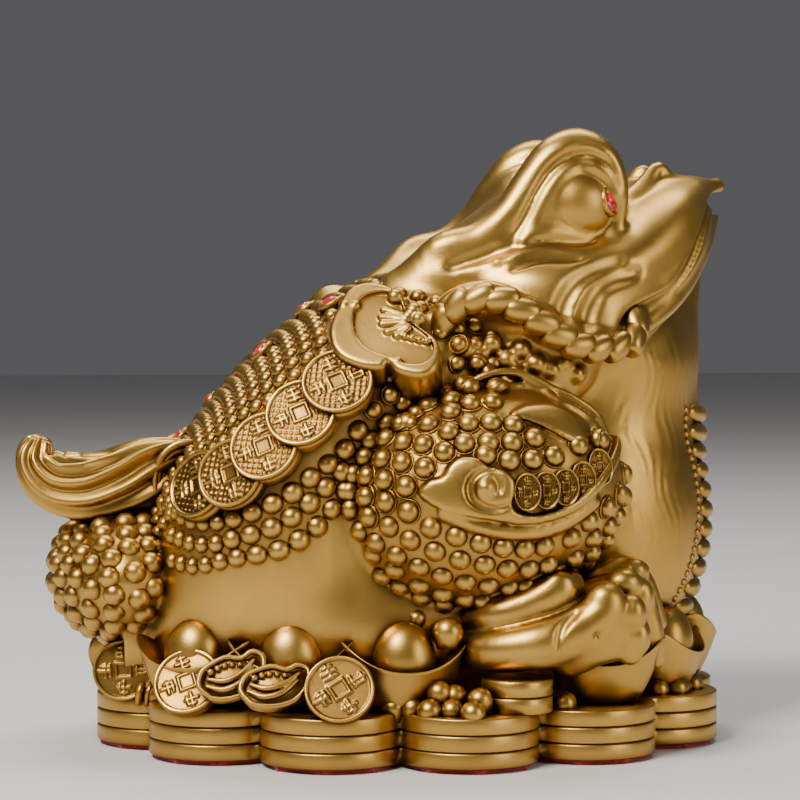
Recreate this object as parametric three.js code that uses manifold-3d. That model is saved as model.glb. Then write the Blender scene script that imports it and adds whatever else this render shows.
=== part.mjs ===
// A cast brass money toad that crouches on a ring of stacked coins, with a red felt pad under the
// ring and red glass stones in its eyes and along its back.
//
// Millimetres, +Z up, +X the way the toad faces, +Y its left. The origin is the centre of the
// pad's underside. The toad, the coins and the ingots are one casting, and each stone sits in
// a pocket of its own.
import * as THREE from "three";
import { mergeVertices } from "three/addons/utils/BufferGeometryUtils.js";
import Module from "manifold-3d";

const wasm = await Module();
wasm.setup();

// The base: a ring of coin stacks round a flat deck, with felt glued under it.
const RING_HALF_LENGTH = 89;
const RING_HALF_WIDTH = 72;
const STACKS = 12;
const FIRST_STACK_ANGLE = -84;
const COINS_PER_STACK = 3;
const COIN_OVERLAP = 1.3; // how far the widest-spaced stacks run into each other
const COIN_THICKNESS = 5.7;
const COIN_GROOVE = 0.9;
const DECK_SINK = 1; // how far what stands on the deck is sunk into it
const FELT_THICKNESS = 1.5;
const FELT_INSET = 1;

// The loose treasure on the deck.
const INGOT_LENGTH = 43;
const INGOT_WIDTH = 26;
const INGOT_RIM_HEIGHT = 14;
const INGOT_END_RISE = 9;
const INGOT_CROWN_HEIGHT = 31;
const INGOT_CROWN_WALL = 5.5;
const INGOT_FLOOR_DROP = 3;
const PEARL_RADIUS = 4.6;
const LUCKY_COIN_RADIUS = 11.5;
const LUCKY_COIN_THICKNESS = 3;
const LUCKY_COIN_HOLE = 5;

// The coins strung along each flank, and the small ones on each shoulder.
const STRING_COIN_RADIUS = 12;
const STRING_COIN_THICKNESS = 2;
const STRING_COIN_LIFT = 1.5;
const SHOULDER_COIN_RADIUS = 7.5;
const SHOULDER_COIN_THICKNESS = 3;
const CLOUD_THICKNESS = 14;
const CLOUD_LIFT = 5;

// The red stones, and the pockets that they sit in.
const EYE_STONE_RADIUS = 4;
const BACK_STONE_RADIUS = 3.2;
const STONE_DEPTH = 2.6;
const STONE_CROWN = 1.6;
const STONE_CLEARANCE = 0.3;
const COLLAR_WALL = 1.7;
const COLLAR_LIP = 0.3;
const STONE_SIDES = 7;

// How the casting's skin is thinned out, before the stones' pockets are cut.
const MOST_FACES = 8400;
const HEAVIEST_FACE = 6; // a face counts in proportion to its size, up to this one
const SMALLEST_FACE = 0.2;
const MOST_TILT = 66; // degrees that a face may turn by

// The toad's own forms are in 250ths of its length, from the tail's curl to the lip, with
// heights counted from the deck that it sits on.
const TOAD_LENGTH = 250;
const SHARE = TOAD_LENGTH / 250;
const DECK = FELT_THICKNESS + COINS_PER_STACK * COIN_THICKNESS;

const degrees = THREE.MathUtils.degToRad;
const RIGHT_SIDE = -1;
const LEFT_SIDE = 1;
const SIDES = [RIGHT_SIDE, LEFT_SIDE];
const UP = new THREE.Vector3(0, 0, 1);

function toadPoint([x, y, z]) {
  return new THREE.Vector3(x * SHARE, y * SHARE, z * SHARE + DECK);
}

// Turning three.js geometries into closed solids, and a solid back into a mesh.

function solid(geometry) {
  const bare = geometry.index ? geometry.toNonIndexed() : geometry.clone();
  bare.deleteAttribute("normal");
  bare.deleteAttribute("uv");
  const merged = mergeVertices(bare, 1e-4);
  return new wasm.Manifold(
    new wasm.Mesh({
      numProp: 3,
      vertProperties: new Float32Array(merged.attributes.position.array),
      triVerts: new Uint32Array(merged.index.array),
    }),
  );
}

function joined(geometries) {
  return geometries.map(solid).reduce((whole, next) => whole.add(next));
}

// The shape with any hollow that is sealed inside it filled.
function filled(shape) {
  return shape
    .decompose()
    .filter((body) => body.volume() > 0)
    .reduce((whole, next) => whole.add(next));
}

function meshOf(shape, name, material) {
  const { numProp, numVert, vertProperties, triVerts } = shape.getMesh();
  const points = new Float32Array(numVert * 3);
  for (let i = 0; i < numVert; i++) {
    points.set(vertProperties.subarray(i * numProp, i * numProp + 3), i * 3);
  }
  const geometry = new THREE.BufferGeometry()
    .setAttribute("position", new THREE.BufferAttribute(points, 3))
    .setIndex(new THREE.BufferAttribute(triVerts, 1));
  const mesh = new THREE.Mesh(geometry, material);
  mesh.name = name;
  return mesh;
}

// Joining forms leaves slivers along every seam. This closes them up: it moves one vertex at
// a time onto a neighbour, starting where the surface changes least, until few enough faces are
// left. A move that would turn a face over, or pinch the skin, is left out.
function thinned(shape, mostFaces) {
  const { numProp, vertProperties, triVerts } = shape.getMesh();
  const vertexCount = vertProperties.length / numProp;
  const spots = Array.from({ length: vertexCount }, (_, i) =>
    new THREE.Vector3().fromArray(vertProperties, i * numProp),
  );
  const faces = Array.from({ length: triVerts.length / 3 }, (_, i) => [
    ...triVerts.slice(3 * i, 3 * i + 3),
  ]);
  const facesAt = spots.map(() => new Set());
  faces.forEach((face, i) => face.forEach((v) => facesAt[v].add(i)));
  const planeOf = ([a, b, c]) => {
    const normal = new THREE.Vector3().crossVectors(
      spots[b].clone().sub(spots[a]),
      spots[c].clone().sub(spots[a]),
    );
    const area = normal.length();
    normal.normalize();
    return { normal, offset: -normal.dot(spots[a]), area };
  };
  const planesAt = spots.map((_, v) => [...facesAt[v]].map((f) => planeOf(faces[f])));
  const cost = (from, to) =>
    planesAt[from].reduce((sum, { normal, offset, area }) => {
      const away = normal.dot(spots[to]) + offset;
      return sum + Math.min(area, HEAVIEST_FACE) * away ** 2;
    }, 0);
  const neighbours = (v) => new Set([...facesAt[v]].flatMap((f) => faces[f]).filter((w) => w !== v));
  const allowed = (from, to) => {
    const nextToBoth = [...neighbours(from)].filter((v) => neighbours(to).has(v));
    if (nextToBoth.length !== 2) return false;
    return [...facesAt[from]].every((f) => {
      if (faces[f].includes(to)) return true;
      const before = planeOf(faces[f]);
      const after = planeOf(faces[f].map((v) => (v === from ? to : v)));
      const tilt = after.normal.angleTo(before.normal);
      return after.area > SMALLEST_FACE && tilt < degrees(MOST_TILT);
    });
  };
  let left = faces.length;
  while (left > mostFaces) {
    const moves = spots
      .flatMap((_, from) => [...neighbours(from)].map((to) => ({ from, to, cost: cost(from, to) })))
      .sort((one, other) => one.cost - other.cost)
      .slice(0, Math.max(400, left - mostFaces));
    const settled = new Set();
    for (const { from, to } of moves) {
      if (left <= mostFaces) break;
      if (settled.has(from) || settled.has(to) || !allowed(from, to)) continue;
      for (const v of [...neighbours(from), ...neighbours(to)]) settled.add(v);
      for (const f of facesAt[from]) {
        if (faces[f].includes(to)) {
          for (const v of faces[f]) if (v !== from) facesAt[v].delete(f);
          faces[f] = null;
          left -= 1;
        } else {
          faces[f] = faces[f].map((v) => (v === from ? to : v));
          facesAt[to].add(f);
        }
      }
      facesAt[from].clear();
      planesAt[to] = [...planesAt[to], ...planesAt[from]];
    }
    if (settled.size === 0) break;
  }
  const kept = faces.filter(Boolean).flat();
  return new THREE.BufferGeometry().setFromPoints(spots).setIndex(kept).toNonIndexed();
}

// A form made for the toad's right side, as it is on the side asked for, with its faces outwards.
function onSide(geometry, side) {
  if (side === RIGHT_SIDE) return geometry;
  const mirrored = geometry.index ? geometry.toNonIndexed() : geometry.clone();
  mirrored.scale(1, -1, 1);
  const { array } = mirrored.attributes.position;
  for (let i = 0; i < array.length; i += 9) {
    for (let k = 0; k < 3; k++) {
      [array[i + 3 + k], array[i + 6 + k]] = [array[i + 6 + k], array[i + 3 + k]];
    }
  }
  return mirrored;
}

function onBothSides(geometries) {
  return SIDES.flatMap((side) => geometries.map((geometry) => onSide(geometry, side)));
}

// A closed skin over rings of points with a pole at each end. Every ring runs anticlockwise as
// seen from the last pole. stud(row, column) gives the tip that a cell rises to, or nothing.
function skin(firstPole, rings, lastPole, stud = () => null) {
  const points = [firstPole, ...rings.flat(), lastPole];
  const around = rings[0].length;
  const lastIndex = points.length - 1;
  const at = (row, column) => 1 + row * around + (column % around);
  const faces = [];
  for (let c = 0; c < around; c++) {
    faces.push(0, at(0, c + 1), at(0, c));
    faces.push(lastIndex, at(rings.length - 1, c), at(rings.length - 1, c + 1));
  }
  for (let r = 0; r + 1 < rings.length; r++) {
    for (let c = 0; c < around; c++) {
      const corners = [at(r, c), at(r, c + 1), at(r + 1, c + 1), at(r + 1, c)];
      const tip = stud(r, c);
      if (tip) {
        const top = points.push(tip) - 1;
        corners.forEach((corner, i) => faces.push(corner, corners[(i + 1) % 4], top));
      } else {
        faces.push(corners[0], corners[1], corners[2]);
        faces.push(corners[0], corners[2], corners[3]);
      }
    }
  }
  return new THREE.BufferGeometry().setFromPoints(points).setIndex(faces);
}

// An ellipsoid with its poles on its long axis, which is pitched up at the front. warts, if
// given, is { height, cover }: cover(point) says whether a wart stands there.
function ellipsoid({ at, radii, pitch = 0, yaw = 0, rows = 8, columns = 14, warts }) {
  const turn = new THREE.Euler(0, degrees(-pitch), degrees(yaw), "ZYX");
  const placement = new THREE.Matrix4().makeRotationFromEuler(turn).setPosition(toadPoint(at));
  const spot = (row, column, swell = 0) => {
    const polar = (Math.PI * row) / rows;
    const around = (2 * Math.PI * column) / columns;
    const direction = new THREE.Vector3(
      -Math.cos(polar),
      Math.sin(polar) * Math.cos(around),
      Math.sin(polar) * Math.sin(around),
    );
    const [rx, ry, rz] = radii.map((radius) => (radius + swell) * SHARE);
    return direction.multiply(new THREE.Vector3(rx, ry, rz)).applyMatrix4(placement);
  };
  const rings = [];
  for (let r = 1; r < rows; r++) {
    rings.push(Array.from({ length: columns }, (_, c) => spot(r, c)));
  }
  const stud = (r, c) => {
    if (!warts) return null;
    const tip = spot(r + 1.5, c + 0.5, warts.height);
    return warts.cover(tip) ? tip : null;
  };
  return skin(spot(0, 0), rings, spot(rows, 0), stud);
}

// A limb: a smooth tube through [x, y, z, radius] stations with round ends. flutes cuts that
// many grooves along it, each depth of its radius deep.
function limb(stations, { sides = 6, rings = 2 * (stations.length - 1), flutes = 0, depth = 0 } = {}) {
  const path = new THREE.CatmullRomCurve3(stations.map(toadPoint));
  const girths = new THREE.CatmullRomCurve3(
    stations.map(([, , , radius]) => new THREE.Vector3(radius * SHARE, 0, 0)),
  );
  const frames = path.computeFrenetFrames(rings);
  const along = (i, shift) => {
    const girth = girths.getPoint(i / rings).x;
    return path.getPoint(i / rings).addScaledVector(frames.tangents[i], shift * girth);
  };
  const ring = (i, share, shift) => {
    const girth = share * girths.getPoint(i / rings).x;
    return Array.from({ length: sides }, (_, s) => {
      const turn = (2 * Math.PI * s) / sides;
      const radius = girth * (1 - depth * (0.5 + 0.5 * Math.cos(flutes * turn)));
      return along(i, shift)
        .addScaledVector(frames.normals[i], radius * Math.cos(turn))
        .addScaledVector(frames.binormals[i], radius * Math.sin(turn));
    });
  };
  const rows = [ring(0, 0.7, -0.6)];
  for (let i = 0; i <= rings; i++) rows.push(ring(i, 1, 0));
  rows.push(ring(rings, 0.7, 0.6));
  return skin(along(0, -0.9), rows, along(rings, 0.9));
}

// Where a small piece sits: at a point, with its own +Z along the outward normal and its own +Y
// as near upwards as the surface allows.
function seat(point, normal) {
  const out = normal.clone().normalize();
  const across = new THREE.Vector3().crossVectors(UP, out).normalize();
  const upwards = new THREE.Vector3().crossVectors(out, across);
  return new THREE.Matrix4().makeBasis(across, upwards, out).setPosition(point);
}

// A holed coin that lies on its seat, sunk a little into it. Its square hole is a shallow pit.
function holedCoin(radius, thickness, hole, sides = 12) {
  const outline = (half, height, count, start) =>
    Array.from({ length: count }, (_, i) => {
      const turn = start + (2 * Math.PI * i) / count;
      return new THREE.Vector3(half * Math.cos(turn), half * Math.sin(turn), height);
    });
  const square = (height) => {
    const corners = outline(hole / Math.SQRT2, height, 4, Math.PI / 4);
    return corners.flatMap((corner) => Array.from({ length: sides / 4 }, () => corner.clone()));
  };
  const bottom = -thickness;
  const rings = [
    outline(radius, bottom, sides, Math.PI / 4),
    outline(radius, thickness, sides, Math.PI / 4),
    square(thickness),
    square(thickness / 3),
  ];
  return skin(new THREE.Vector3(0, 0, bottom), rings, new THREE.Vector3(0, 0, thickness / 3));
}

function disc(radius, thickness, sides = 10) {
  return new THREE.CylinderGeometry(radius, radius, thickness, sides).rotateX(Math.PI / 2);
}

// The base.

const STACK_CENTRES = Array.from({ length: STACKS }, (_, k) => {
  const angle = degrees(FIRST_STACK_ANGLE + (360 / STACKS) * k);
  return new THREE.Vector2(RING_HALF_LENGTH * Math.cos(angle), RING_HALF_WIDTH * Math.sin(angle));
});

const COIN_RADIUS =
  COIN_OVERLAP +
  Math.max(...STACK_CENTRES.map((here, k) => here.distanceTo(STACK_CENTRES[(k + 1) % STACKS]) / 2));

// The ring's outline: arcs of one radius about the stack centres, from notch to notch.
function ringOutline(radius, steps = 5) {
  const notch = (k) => {
    const here = STACK_CENTRES[k % STACKS];
    const next = STACK_CENTRES[(k + 1) % STACKS];
    const half = here.distanceTo(next) / 2;
    const middle = here.clone().add(next).divideScalar(2);
    const outwards = new THREE.Vector2(next.y - here.y, here.x - next.x).normalize();
    return middle.addScaledVector(outwards, Math.sqrt(radius ** 2 - half ** 2));
  };
  return STACK_CENTRES.flatMap((centre, k) => {
    const start = notch(k + STACKS - 1).sub(centre).angle();
    const end = notch(k).sub(centre).angle();
    const sweep = (end - start + 2 * Math.PI) % (2 * Math.PI);
    return Array.from({ length: steps }, (_, i) => {
      const turn = start + (sweep * i) / steps;
      return new THREE.Vector2(centre.x + radius * Math.cos(turn), centre.y + radius * Math.sin(turn));
    });
  });
}

// The stacks as one solid: a groove round it marks each joint between two layers of coins.
function base() {
  const ring = (inset, height) =>
    ringOutline(COIN_RADIUS - inset).map(({ x, y }) => new THREE.Vector3(x, y, FELT_THICKNESS + height));
  const rings = [ring(0, 0)];
  for (let k = 1; k < COINS_PER_STACK; k++) {
    const joint = k * COIN_THICKNESS;
    rings.push(ring(0, joint - COIN_GROOVE), ring(COIN_GROOVE, joint), ring(0, joint + COIN_GROOVE));
  }
  rings.push(ring(0, COINS_PER_STACK * COIN_THICKNESS));
  return skin(new THREE.Vector3(0, 0, FELT_THICKNESS), rings, new THREE.Vector3(0, 0, DECK));
}

function feltPad() {
  const outline = new THREE.Shape(ringOutline(COIN_RADIUS - FELT_INSET, 4));
  return new THREE.ExtrudeGeometry(outline, { depth: FELT_THICKNESS, bevelEnabled: false });
}

// The loose treasure on the deck, each piece at an angle round the ring and a share of its size.
// The left side has the ingots and the large coins only.

function onDeck(angle, share, height, turn = angle + 90) {
  const here = new THREE.Vector3(
    RING_HALF_LENGTH * share * Math.cos(degrees(angle)),
    RING_HALF_WIDTH * share * Math.sin(degrees(angle)),
    DECK + height,
  );
  return new THREE.Matrix4().makeRotationZ(degrees(turn)).setPosition(here);
}

// How many times as far from the middle as its stack's centre line the rim lies, at an angle.
function rimShare(angle) {
  const way = new THREE.Vector2(
    RING_HALF_LENGTH * Math.cos(degrees(angle)),
    RING_HALF_WIDTH * Math.sin(degrees(angle)),
  );
  const reach = STACK_CENTRES.map((centre) => {
    const along = way.dot(centre) / way.lengthSq();
    const beside = (COIN_RADIUS ** 2 - centre.lengthSq()) / way.lengthSq() + along ** 2;
    return beside < 0 ? 0 : along + Math.sqrt(beside);
  });
  return { share: Math.max(...reach), unit: way.length() };
}

// A place on the deck at an angle, so far in from the rim.
function nearRim(angle, inset, height) {
  const { share, unit } = rimShare(angle);
  return onDeck(angle, share - inset / unit, height);
}

// A boat-shaped ingot: a hull with two raised ends and a domed crown between them.
function ingot() {
  const oval = (share, height, rise = 0) =>
    Array.from({ length: 10 }, (_, i) => {
      const turn = (Math.PI * i) / 5;
      const lift = rise * INGOT_END_RISE * Math.cos(turn) ** 2;
      const x = (INGOT_LENGTH / 2) * share * Math.cos(turn);
      const y = (INGOT_WIDTH / 2) * (share + 0.1 * (1 - share)) * Math.sin(turn);
      return new THREE.Vector3(x, y, height + lift);
    });
  const rings = [
    oval(0.45, -DECK_SINK),
    oval(1, INGOT_RIM_HEIGHT, 1),
    oval(0.6, INGOT_RIM_HEIGHT - INGOT_FLOOR_DROP, 0.3),
    oval(0.46, INGOT_CROWN_HEIGHT - INGOT_CROWN_WALL - 1.5),
    oval(0.26, INGOT_CROWN_HEIGHT - 1.5),
  ];
  return skin(new THREE.Vector3(0, 0, -DECK_SINK), rings, new THREE.Vector3(0, 0, INGOT_CROWN_HEIGHT));
}

const INGOTS = [
  { angle: -143, share: 1.05, turn: 20 },
  { angle: -122, share: 1, turn: 6 },
  { angle: -98, share: 0.98, turn: 0 },
  { angle: -53, share: 1.08, turn: -10 },
  { angle: -25, share: 1.08, turn: 62 },
];

// The pearls and the large coins are placed by how far in from the rim they are.
const PEARLS = [
  { angle: -157, inset: 5 },
  { angle: -96, inset: 4 },
  { angle: -89, inset: 9 },
  { angle: -88, inset: 15, height: 4 },
  { angle: -83, inset: 14 },
  { angle: -65, inset: 10 },
  { angle: -34, inset: 13 },
  { angle: -27, inset: 12 },
];

// The large coins lean outwards, each with its edge on the deck.
const LUCKY_COINS = [
  { angle: -161, inset: 4, lean: 66 },
  { angle: -133, inset: 11, lean: 50 },
  { angle: -109, inset: 10, lean: 60 },
];

// Two leaf-shaped charms that lie together on the rim, and a short pile of two coins.
const CHARMS = [
  { angle: -128, share: 1.16, turn: 20 },
  { angle: -120, share: 1.16, turn: -20 },
];
const CHARM = { at: [0, 0, 0], radii: [9.5, 6.5, 4.5], pitch: 12, rows: 5, columns: 6 };
const PILE = { angle: -75, share: 1.1, radius: 11.5, coins: 2 };
const FRONT_INGOT = { angle: 0, share: 1.12, height: 2, turn: 90 };

function treasureForms() {
  const pileHeight = PILE.coins * COIN_THICKNESS;
  const charm = ellipsoid(CHARM).translate(0, 0, -DECK);
  const pearl = new THREE.IcosahedronGeometry(PEARL_RADIUS).translate(0, 0, 0.6 * PEARL_RADIUS);
  const pile = disc(PILE.radius, pileHeight + DECK_SINK, 10).translate(0, 0, (pileHeight - DECK_SINK) / 2);
  const rightOnly = [
    ...CHARMS.map(({ angle, share, turn }) => charm.clone().applyMatrix4(onDeck(angle, share, 4, turn))),
    pile.applyMatrix4(onDeck(PILE.angle, PILE.share, 0)),
    ...PEARLS.map(({ angle, inset, height = 0 }) =>
      pearl.clone().applyMatrix4(nearRim(angle, inset, height)),
    ),
  ];
  const luckyCoins = LUCKY_COINS.flatMap(({ angle, inset, lean }) => {
    const tilt = degrees(lean);
    const height = LUCKY_COIN_RADIUS * Math.sin(tilt) + LUCKY_COIN_THICKNESS * Math.cos(tilt) - DECK_SINK;
    const coin = holedCoin(LUCKY_COIN_RADIUS, LUCKY_COIN_THICKNESS, LUCKY_COIN_HOLE).rotateX(tilt);
    return [angle, -angle].map((place) => coin.clone().applyMatrix4(nearRim(place, inset, height)));
  });
  const ingots = INGOTS.map(({ angle, share, turn }) =>
    ingot().applyMatrix4(onDeck(angle, share, 0, turn)),
  );
  const { angle, share, height, turn } = FRONT_INGOT;
  const frontIngot = ingot().applyMatrix4(onDeck(angle, share, height, turn));
  return [frontIngot, ...rightOnly, ...luckyCoins, ...onBothSides(ingots)];
}

// The trunk: a skin through sections from the rump to the nape. Each section has a top, a half
// width and a fuller curve than an oval, and stands on the deck.

const TRUNK_STATIONS = [
  { x: -97, top: 53, half: 30 },
  { x: -88, top: 75, half: 46 },
  { x: -78, top: 90, half: 56 },
  { x: -66, top: 105, half: 64 },
  { x: -50, top: 122, half: 70 },
  { x: -32, top: 135, half: 73 },
  { x: -12, top: 144, half: 73 },
  { x: 8, top: 147, half: 68 },
  { x: 28, top: 144, half: 58 },
];
const TRUNK = { rear: -104, front: 34, fullness: 2.8, rows: 13, columns: 22, bellyColumns: 6 };

// The warts cover the trunk this far round from the ridge and this far down. Below them the
// belly is smooth.
const WARTS = { height: 2.6, edge: degrees(112), lowest: 44 };

// The flank's ornaments lie on the trunk: a cloud-headed plate behind the shoulder, with a
// string of coins hanging from it.

const COIN_STRING = [
  { share: 0.62, turn: 57 },
  { share: 0.54, turn: 62 },
  { share: 0.45, turn: 65 },
  { share: 0.36, turn: 65 },
  { share: 0.27, turn: 57 },
];
const CLOUD_LOBES = [
  { share: 0.69, turn: 33, radius: 13 },
  { share: 0.75, turn: 46, radius: 10 },
  { share: 0.8, turn: 57, radius: 9 },
];

const BACK_STONES = [
  { name: "back_stone_1", share: 0.25, turn: -12 },
  { name: "back_stone_2", share: 0.37, turn: -26 },
  { name: "back_stone_3", share: 0.49, turn: 8 },
  { name: "back_stone_4", share: 0.62, turn: -6 },
  { name: "back_stone_5", share: 0.65, turn: 12 },
  { name: "back_stone_6", share: 0.54, turn: -28 },
  { name: "back_stone_7", share: 0.8, turn: -14 },
];

const TRUNK_LINE = new THREE.CatmullRomCurve3(
  TRUNK_STATIONS.map(({ x, top, half }) => new THREE.Vector3(x, half, top)),
);

// A point of the trunk: share 0 is the rump and 1 the nape, turn 0 the ridge of the back, and
// a turn above 0 is on the toad's right.
function trunkPoint(share, turn, swell = 0) {
  const station = TRUNK_LINE.getPointAt(share);
  const middle = station.z / 2;
  const round = (value) => Math.sign(value) * Math.abs(value) ** (2 / TRUNK.fullness);
  const y = -(station.y + swell) * round(Math.sin(turn));
  const z = middle + (middle + swell) * round(Math.cos(turn));
  return toadPoint([station.x, y, z]);
}

// A seat on the trunk's skin, raised a little from it.
function trunkSeat(share, turn, lift = 0) {
  const here = trunkPoint(share, degrees(turn), lift);
  const along = trunkPoint(share + 0.01, degrees(turn)).sub(trunkPoint(share - 0.01, degrees(turn)));
  const round = trunkPoint(share, degrees(turn + 1)).sub(trunkPoint(share, degrees(turn - 1)));
  return seat(here, round.cross(along));
}

// Whether the trunk is bare of warts at a point, under the coins, the plate or a stone.
function underOrnament(point) {
  const onRight = new THREE.Vector3(point.x, -Math.abs(point.y), point.z);
  const near = (place, turn, radius, from) =>
    trunkPoint(place.share, degrees(turn)).distanceTo(from) < radius + WARTS.height;
  return (
    COIN_STRING.some((coin) => near(coin, coin.turn, STRING_COIN_RADIUS, onRight)) ||
    CLOUD_LOBES.some((lobe) => near(lobe, lobe.turn, lobe.radius, onRight)) ||
    BACK_STONES.some((stone) => near(stone, stone.turn, BACK_STONE_RADIUS + COLLAR_WALL, point))
  );
}

function trunk() {
  const turns = [];
  for (let c = 0; c < TRUNK.columns; c++) turns.push(-WARTS.edge + (2 * WARTS.edge * c) / TRUNK.columns);
  for (let c = 0; c < TRUNK.bellyColumns; c++) {
    turns.push(WARTS.edge + (2 * (Math.PI - WARTS.edge) * c) / TRUNK.bellyColumns);
  }
  const rings = [];
  for (let r = 0; r <= TRUNK.rows; r++) {
    rings.push(turns.map((turn) => trunkPoint(r / TRUNK.rows, turn)));
  }
  const stud = (r, c) => {
    if (c >= TRUNK.columns) return null;
    const turn = (turns[c] + turns[c + 1]) / 2;
    const tip = trunkPoint((r + 0.5) / TRUNK.rows, turn, WARTS.height);
    const warty = tip.z > DECK + WARTS.lowest * SHARE && !underOrnament(tip);
    return warty ? tip : null;
  };
  const pole = (share, x) => {
    const { z } = TRUNK_LINE.getPointAt(share);
    return toadPoint([x, 0, z / 2]);
  };
  return skin(pole(0, TRUNK.rear), rings, pole(1, TRUNK.front), stud);
}

// Whether the right shoulder is warty at a point: clear of its scroll, its leaves and the body.
function underNoOrnament({ x, y, z }) {
  const onFlank = y < -55 * SHARE;
  const behind = x < -8 * SHARE;
  const below = z < DECK + 62 * SHARE && x < 50 * SHARE;
  const above = z > DECK + 90 * SHARE && x < 14 * SHARE;
  return onFlank && (behind || below || above);
}

const BELLY = { at: [-14, 0, 24], radii: [86, 70, 40], rows: 7, columns: 12 };
const CHEST = { at: [62, 0, 60], radii: [46, 48, 62], rows: 7, columns: 12 };
const THROAT = { at: [62, 0, 116], radii: [40, 42, 36], rows: 6, columns: 12 };
const HAUNCH = {
  at: [-103, 0, 36],
  radii: [29, 48, 27],
  pitch: 90,
  rows: 7,
  columns: 18,
  warts: { height: 2.8, cover: (point) => point.z > DECK && point.x < -90 * SHARE },
};
const SHOULDER = {
  at: [17, -56, 71],
  radii: [37, 34, 47],
  pitch: 100,
  rows: 9,
  columns: 20,
  warts: { height: 2.6, cover: underNoOrnament },
};

// The point of the right shoulder's surface at one x and height.
function onShoulder(x, z, lift = 0) {
  const [cx, cy, cz] = SHOULDER.at;
  const [rz, ry, rx] = SHOULDER.radii;
  const lean = degrees(SHOULDER.pitch - 90);
  const along = (x - cx) * Math.cos(lean) + (z - cz) * Math.sin(lean);
  const rise = (z - cz) * Math.cos(lean) - (x - cx) * Math.sin(lean);
  const left = Math.max(0.05, 1 - (along / rx) ** 2 - (rise / rz) ** 2);
  return [x, cy - ry * Math.sqrt(left) - lift, z];
}

// The ribbed shield down the front of the chest: rolls that run across it, wider lower down.
const SHIELD = { top: 104, bottom: 24, ribs: 9, topHalf: 7, bottomHalf: 24, root: 9, roll: 3.5, furrow: 1 };

function shield() {
  const [cx, , cz] = CHEST.at;
  const [rx, , rz] = CHEST.radii;
  const rings = [];
  for (let i = 0; i <= 2 * SHIELD.ribs; i++) {
    const share = i / (2 * SHIELD.ribs);
    const z = SHIELD.bottom + (SHIELD.top - SHIELD.bottom) * share;
    const front = cx + rx * Math.sqrt(1 - ((z - cz) / rz) ** 2);
    const half = SHIELD.bottomHalf + (SHIELD.topHalf - SHIELD.bottomHalf) * share;
    const depth = SHIELD.root + (i % 2 ? SHIELD.roll : SHIELD.furrow);
    const ring = Array.from({ length: 8 }, (_, k) => {
      const turn = (Math.PI * (k + 0.5)) / 4;
      return toadPoint([front - SHIELD.root + depth * Math.cos(turn), half * Math.sin(turn), z]);
    });
    rings.push(ring);
  }
  const pole = (z) => toadPoint([cx + rx * 0.75, 0, z]);
  return skin(pole(SHIELD.bottom), rings, pole(SHIELD.top));
}

function bodyForms() {
  return [trunk(), ellipsoid(BELLY), ellipsoid(CHEST), ellipsoid(THROAT), ellipsoid(HAUNCH), shield()];
}

// The shoulder's ornaments: a scroll whose rim runs forward under a row of small coins, and
// blades of leaf above them.

const SCROLL = [
  [14, 76, 2],
  [11, 79, 2],
  [8, 75, 2.5],
  [12, 71, 3],
  [18, 73, 3],
  [20, 79, 3],
  [15, 84, 3.5],
  [7, 88, 3.5],
  [0, 85, 3.5],
  [-5, 78, 3.5],
  [0, 71, 4],
  [12, 66, 4.5],
  [28, 65, 4.5],
  [42, 70, 4],
  [54, 78, 3],
];
const SHOULDER_COINS = [
  [26, 75],
  [33, 75.5],
  [40, 77.5],
  [47, 81],
];
const LEAVES = [
  [
    [14, 97, 2.5],
    [27, 103, 4],
    [42, 103, 2.5],
  ],
  [
    [22, 91, 2.5],
    [35, 97, 4],
    [50, 94, 2.5],
  ],
  [
    [30, 85, 2],
    [43, 90, 3.5],
    [56, 86, 2.5],
  ],
];

function shoulderForms() {
  const laid = (points) => points.map(([x, z, radius]) => [...onShoulder(x, z), radius]);
  const coins = SHOULDER_COINS.map(([x, z]) => {
    const here = toadPoint(onShoulder(x, z, 1));
    const out = new THREE.Vector3(0.35 * ((x - 17) / 30), -1, 0.15);
    return disc(SHOULDER_COIN_RADIUS, SHOULDER_COIN_THICKNESS, 8).applyMatrix4(seat(here, out));
  });
  const leaves = LEAVES.map((leaf) => limb(laid(leaf), { sides: 4, rings: 3 }));
  const paired = [ellipsoid(SHOULDER), limb(laid(SCROLL), { sides: 4, rings: 15 })];
  return [...onBothSides(paired), ...leaves, ...coins];
}

function flankForms() {
  const coins = COIN_STRING.map(({ share, turn }) =>
    holedCoin(STRING_COIN_RADIUS, STRING_COIN_THICKNESS, LUCKY_COIN_HOLE).applyMatrix4(
      trunkSeat(share, turn, STRING_COIN_LIFT),
    ),
  );
  const lobes = CLOUD_LOBES.map(({ share, turn, radius }) =>
    disc(radius, CLOUD_THICKNESS, 12).applyMatrix4(trunkSeat(share, turn, CLOUD_LIFT - CLOUD_THICKNESS / 2)),
  );
  return onBothSides([...coins, ...lobes]);
}

// The head.

const SKULL = { at: [40, 0, 149], radii: [47, 42, 26], pitch: 38, rows: 7, columns: 12 };
const MUZZLE = { at: [78, 0, 155], radii: [36, 38, 17], pitch: 40, rows: 6, columns: 12 };
const JAW = { at: [80, 0, 137], radii: [41, 35, 12], pitch: 46, rows: 6, columns: 10 };
const CHEEKS = { at: [40, 0, 137], radii: [42, 58, 19], pitch: -16, rows: 6, columns: 12 };
const EYE_MOUND = { at: [50, -23, 165], radii: [20, 17, 26], rows: 5, columns: 8 };
const MANTLE = { at: [44, 0, 126], radii: [39, 64, 11], pitch: -8, rows: 5, columns: 12 };
const EYEBALL = { at: [55, -34, 172], radii: [13, 10, 12], yaw: 20, rows: 5, columns: 8 };
const NOSTRIL = { at: [86, -9, 181], radii: [9, 6, 6], pitch: 20, rows: 4, columns: 6 };
const EYE_STONE = { at: [65, -41, 172], facing: [0.75, -0.62, 0.2] };

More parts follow.
